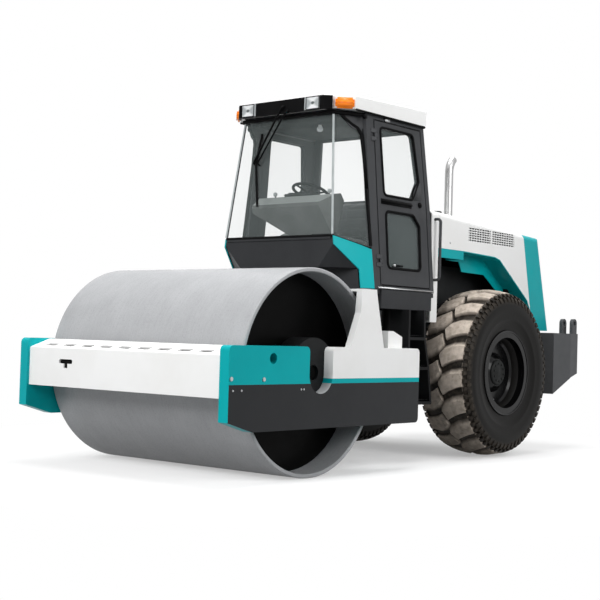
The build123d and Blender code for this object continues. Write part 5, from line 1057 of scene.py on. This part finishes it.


# Front beam: dark sheets behind the slots and behind the socket, as painted shade in their hollows

# a dark sheet just under the slots' top wall: painted shade
slotShadeSheet = block((2.600, -0.95, 0.923), (2.720, 0.95, 0.928), 0.002)
addPiece("beam_slot_painted_shade_sheet", slotShadeSheet, gasketRubber, "front_frame", False)
# a dark sheet behind the socket: painted shade
socketShadeSheet = block((2.738, -1.00, 0.70), (2.742, -0.55, 0.90), 0.001)
addPiece("beam_socket_painted_shade_sheet", socketShadeSheet, gasketRubber, "front_frame", False)


# Bolts on the side plates, and studs on the step treads

# bolt heads by radius, each with the x and z of its middle
bolts = {0.017: ((2.762, 0.774), (2.417, 0.768)),
         0.009: ((2.74, 0.690), (2.65, 0.690), (1.99, 0.69), (1.96, 0.69))}
boltFace = {"y": 1.169, "sunk": 0.002, "heightShare": 0.55}
for sideName, side in sides.items():
    heads = []
    for radius, places in bolts.items():
        low, high = (side * (boltFace["y"] + out) for out in (-boltFace["sunk"], radius * boltFace["heightShare"]))
        heads += [rod((x, low, z), (x, high, z), radius, 6) for x, z in places]
    addPiece("side_plate_bolts_" + sideName, joined(*heads), zincSteel, "front_frame", False)

treads = {"zs": (0.535, 0.844, 1.108), "rearXs": (-0.222, -0.172, -0.104), "frontX": 0.139, "thickness": 0.026,
          "innerY": 0.660, "outerY": 0.862, "stud": 0.009, "margin": 0.035, "columns": 8, "rows": 4}
studOutline = [(0.001, -0.002), (treads["stud"], -0.002), (treads["stud"] * 0.75, 0.003), (0.001, 0.004)]
studTree = rowTree("tread_studs", frameBlack)
for sideName, side in sides.items():
    for number, (z, rearX) in enumerate(zip(treads["zs"], treads["rearXs"])):
        top = z + treads["thickness"] / 2
        start = (rearX + treads["margin"], side * (treads["innerY"] + treads["margin"]), top)
        end = (treads["frontX"] - treads["margin"], side * (treads["outerY"] - treads["margin"]), top)
        inRows(f"step_studs_{number + 1}_{sideName}", lathe(studOutline, (0, 0, 0), 10), studTree, start, end,
               treads["columns"] - number, treads["rows"])
print("bolts and studs made")


# Floor, camera and light

def seenRays(tree):
    # 1 on camera, glossy and transmission rays, which see ground and sky as white
    path = addNode(tree, "ShaderNodeLightPath").node.outputs
    seen = path["Is Camera Ray"]
    for label in ("Is Glossy Ray", "Is Transmission Ray"):
        seen = addNode(tree, "ShaderNodeMath", {0: seen, 1: path[label]}, operation="MAXIMUM")
    return seen


floorLook = {"seen": "#FFFFFF", "bounce": "#8C8D8E", "whiteFrom": 1.5, "whiteTo": 4.4, "nearWhite": 0.35,
             "size": 60, "middle": (0.1, 0.2)}


def studioFloor(look):
    # matt floor: seen and mirrored as white that keeps the soft shadow, while its bounce light stays pale grey
    material, tree, coords = newMaterial("matt_studio_floor")
    seen = seenRays(tree)
    finishMaterial(material, {
        "Base Color": patchy(tree, seen, look["bounce"], look["seen"]), "Roughness": 0.9, "Specular IOR Level": 0.1})
    shifted = addNode(tree, "ShaderNodeMapping", {
        "Vector": coords, "Location": (-look["middle"][0], -look["middle"][1], 0)})
    distance = addNode(tree, "ShaderNodeVectorMath", {0: shifted}, "Value", operation="LENGTH")
    away = addNode(tree, "ShaderNodeMapRange", {
        0: distance, 1: look["whiteFrom"], 2: look["whiteTo"], 3: look["nearWhite"], 4: 1})
    white = addNode(tree, "ShaderNodeEmission", {"Color": look["seen"], "Strength": 1.0})
    mixed = addNode(tree, "ShaderNodeMixShader", {
        0: product(tree, away, seen), 1: tree.nodes["Principled BSDF"].outputs[0], 2: white})
    setInputs(tree, tree.nodes["Material Output"], {"Surface": mixed})
    return material


floorMesh = meshFrom(lambda bm: bmesh.ops.create_grid(bm, x_segments=1, y_segments=1, size=floorLook["size"]))
floor = bpy.data.objects.new("floor", floorMesh)
bpy.context.collection.objects.link(floor)
floorMesh.materials.append(studioFloor(floorLook))
floor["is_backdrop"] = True

cameraPlace = {"location": (9.068, 7.045, 1.091), "yaw": 219.875, "pitch": 1.664, "roll": 1.685, "focalPx": 1228.47,
               "widthPx": 600}


def addCamera(place):
    yaw, pitch, roll = (math.radians(place[key]) for key in ("yaw", "pitch", "roll"))
    forward = Vector((math.cos(yaw) * math.cos(pitch), math.sin(yaw) * math.cos(pitch), math.sin(pitch)))
    level = Vector((math.sin(yaw), -math.cos(yaw), 0))
    upright = level.cross(forward)
    right = level * math.cos(roll) + upright * math.sin(roll)
    up = upright * math.cos(roll) - level * math.sin(roll)
    data = bpy.data.cameras.new("photo_camera")
    data.sensor_width = 36
    data.lens = place["focalPx"] / place["widthPx"] * data.sensor_width
    data.clip_end = 200
    camera = bpy.data.objects.new("photo_camera", data)
    camera.matrix_world = Matrix((right, up, -forward)).transposed().to_4x4()
    camera.location = place["location"]
    bpy.context.collection.objects.link(camera)
    bpy.context.scene.camera = camera


def addLight(name, location, target, size, power):
    data = bpy.data.lights.new(name, "AREA")
    data.shape = "SQUARE"
    data.size = size
    data.energy = power
    lamp = bpy.data.objects.new(name, data)
    lamp.location = location
    lamp.rotation_euler = (Vector(target) - Vector(location)).to_track_quat("-Z", "Y").to_euler()
    bpy.context.collection.objects.link(lamp)


addCamera(cameraPlace)
# where each lamp stands, what it is aimed at, its width in metres and its power in watts
lamps = {
    "front_softbox": ((9.0, 0.5, 5.0), (1.5, 0, 1.0), 4.0, 505),
    "side_softbox": ((0.5, 8.5, 5.0), (0, 0, 1.2), 5.0, 430),
    "top_softbox": ((0, 0, 8.5), (0, 0, 0), 5.0, 570),
    "rear_softbox": ((-8.0, -5.0, 5.0), (0, 0, 1.0), 4.0, 260),
}
for name, place in lamps.items():
    addLight(name, *place)

sky = {"ambient": "#F2F4F6", "strength": 0.33, "seen": "#FFFFFF"}
world = bpy.data.worlds.new("studio")
bpy.context.scene.world = world
world.use_nodes = True
tree = world.node_tree
tree.nodes.clear()
ambient = addNode(tree, "ShaderNodeBackground", {"Color": sky["ambient"], "Strength": sky["strength"]})
white = addNode(tree, "ShaderNodeBackground", {"Color": sky["seen"], "Strength": 1.0})
mixed = addNode(tree, "ShaderNodeMixShader", {0: seenRays(tree), 1: ambient, 2: white})
addNode(tree, "ShaderNodeOutputWorld", {"Surface": mixed})
bpy.context.scene.view_settings.view_transform = "Standard"
print("studio made")

low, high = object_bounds()
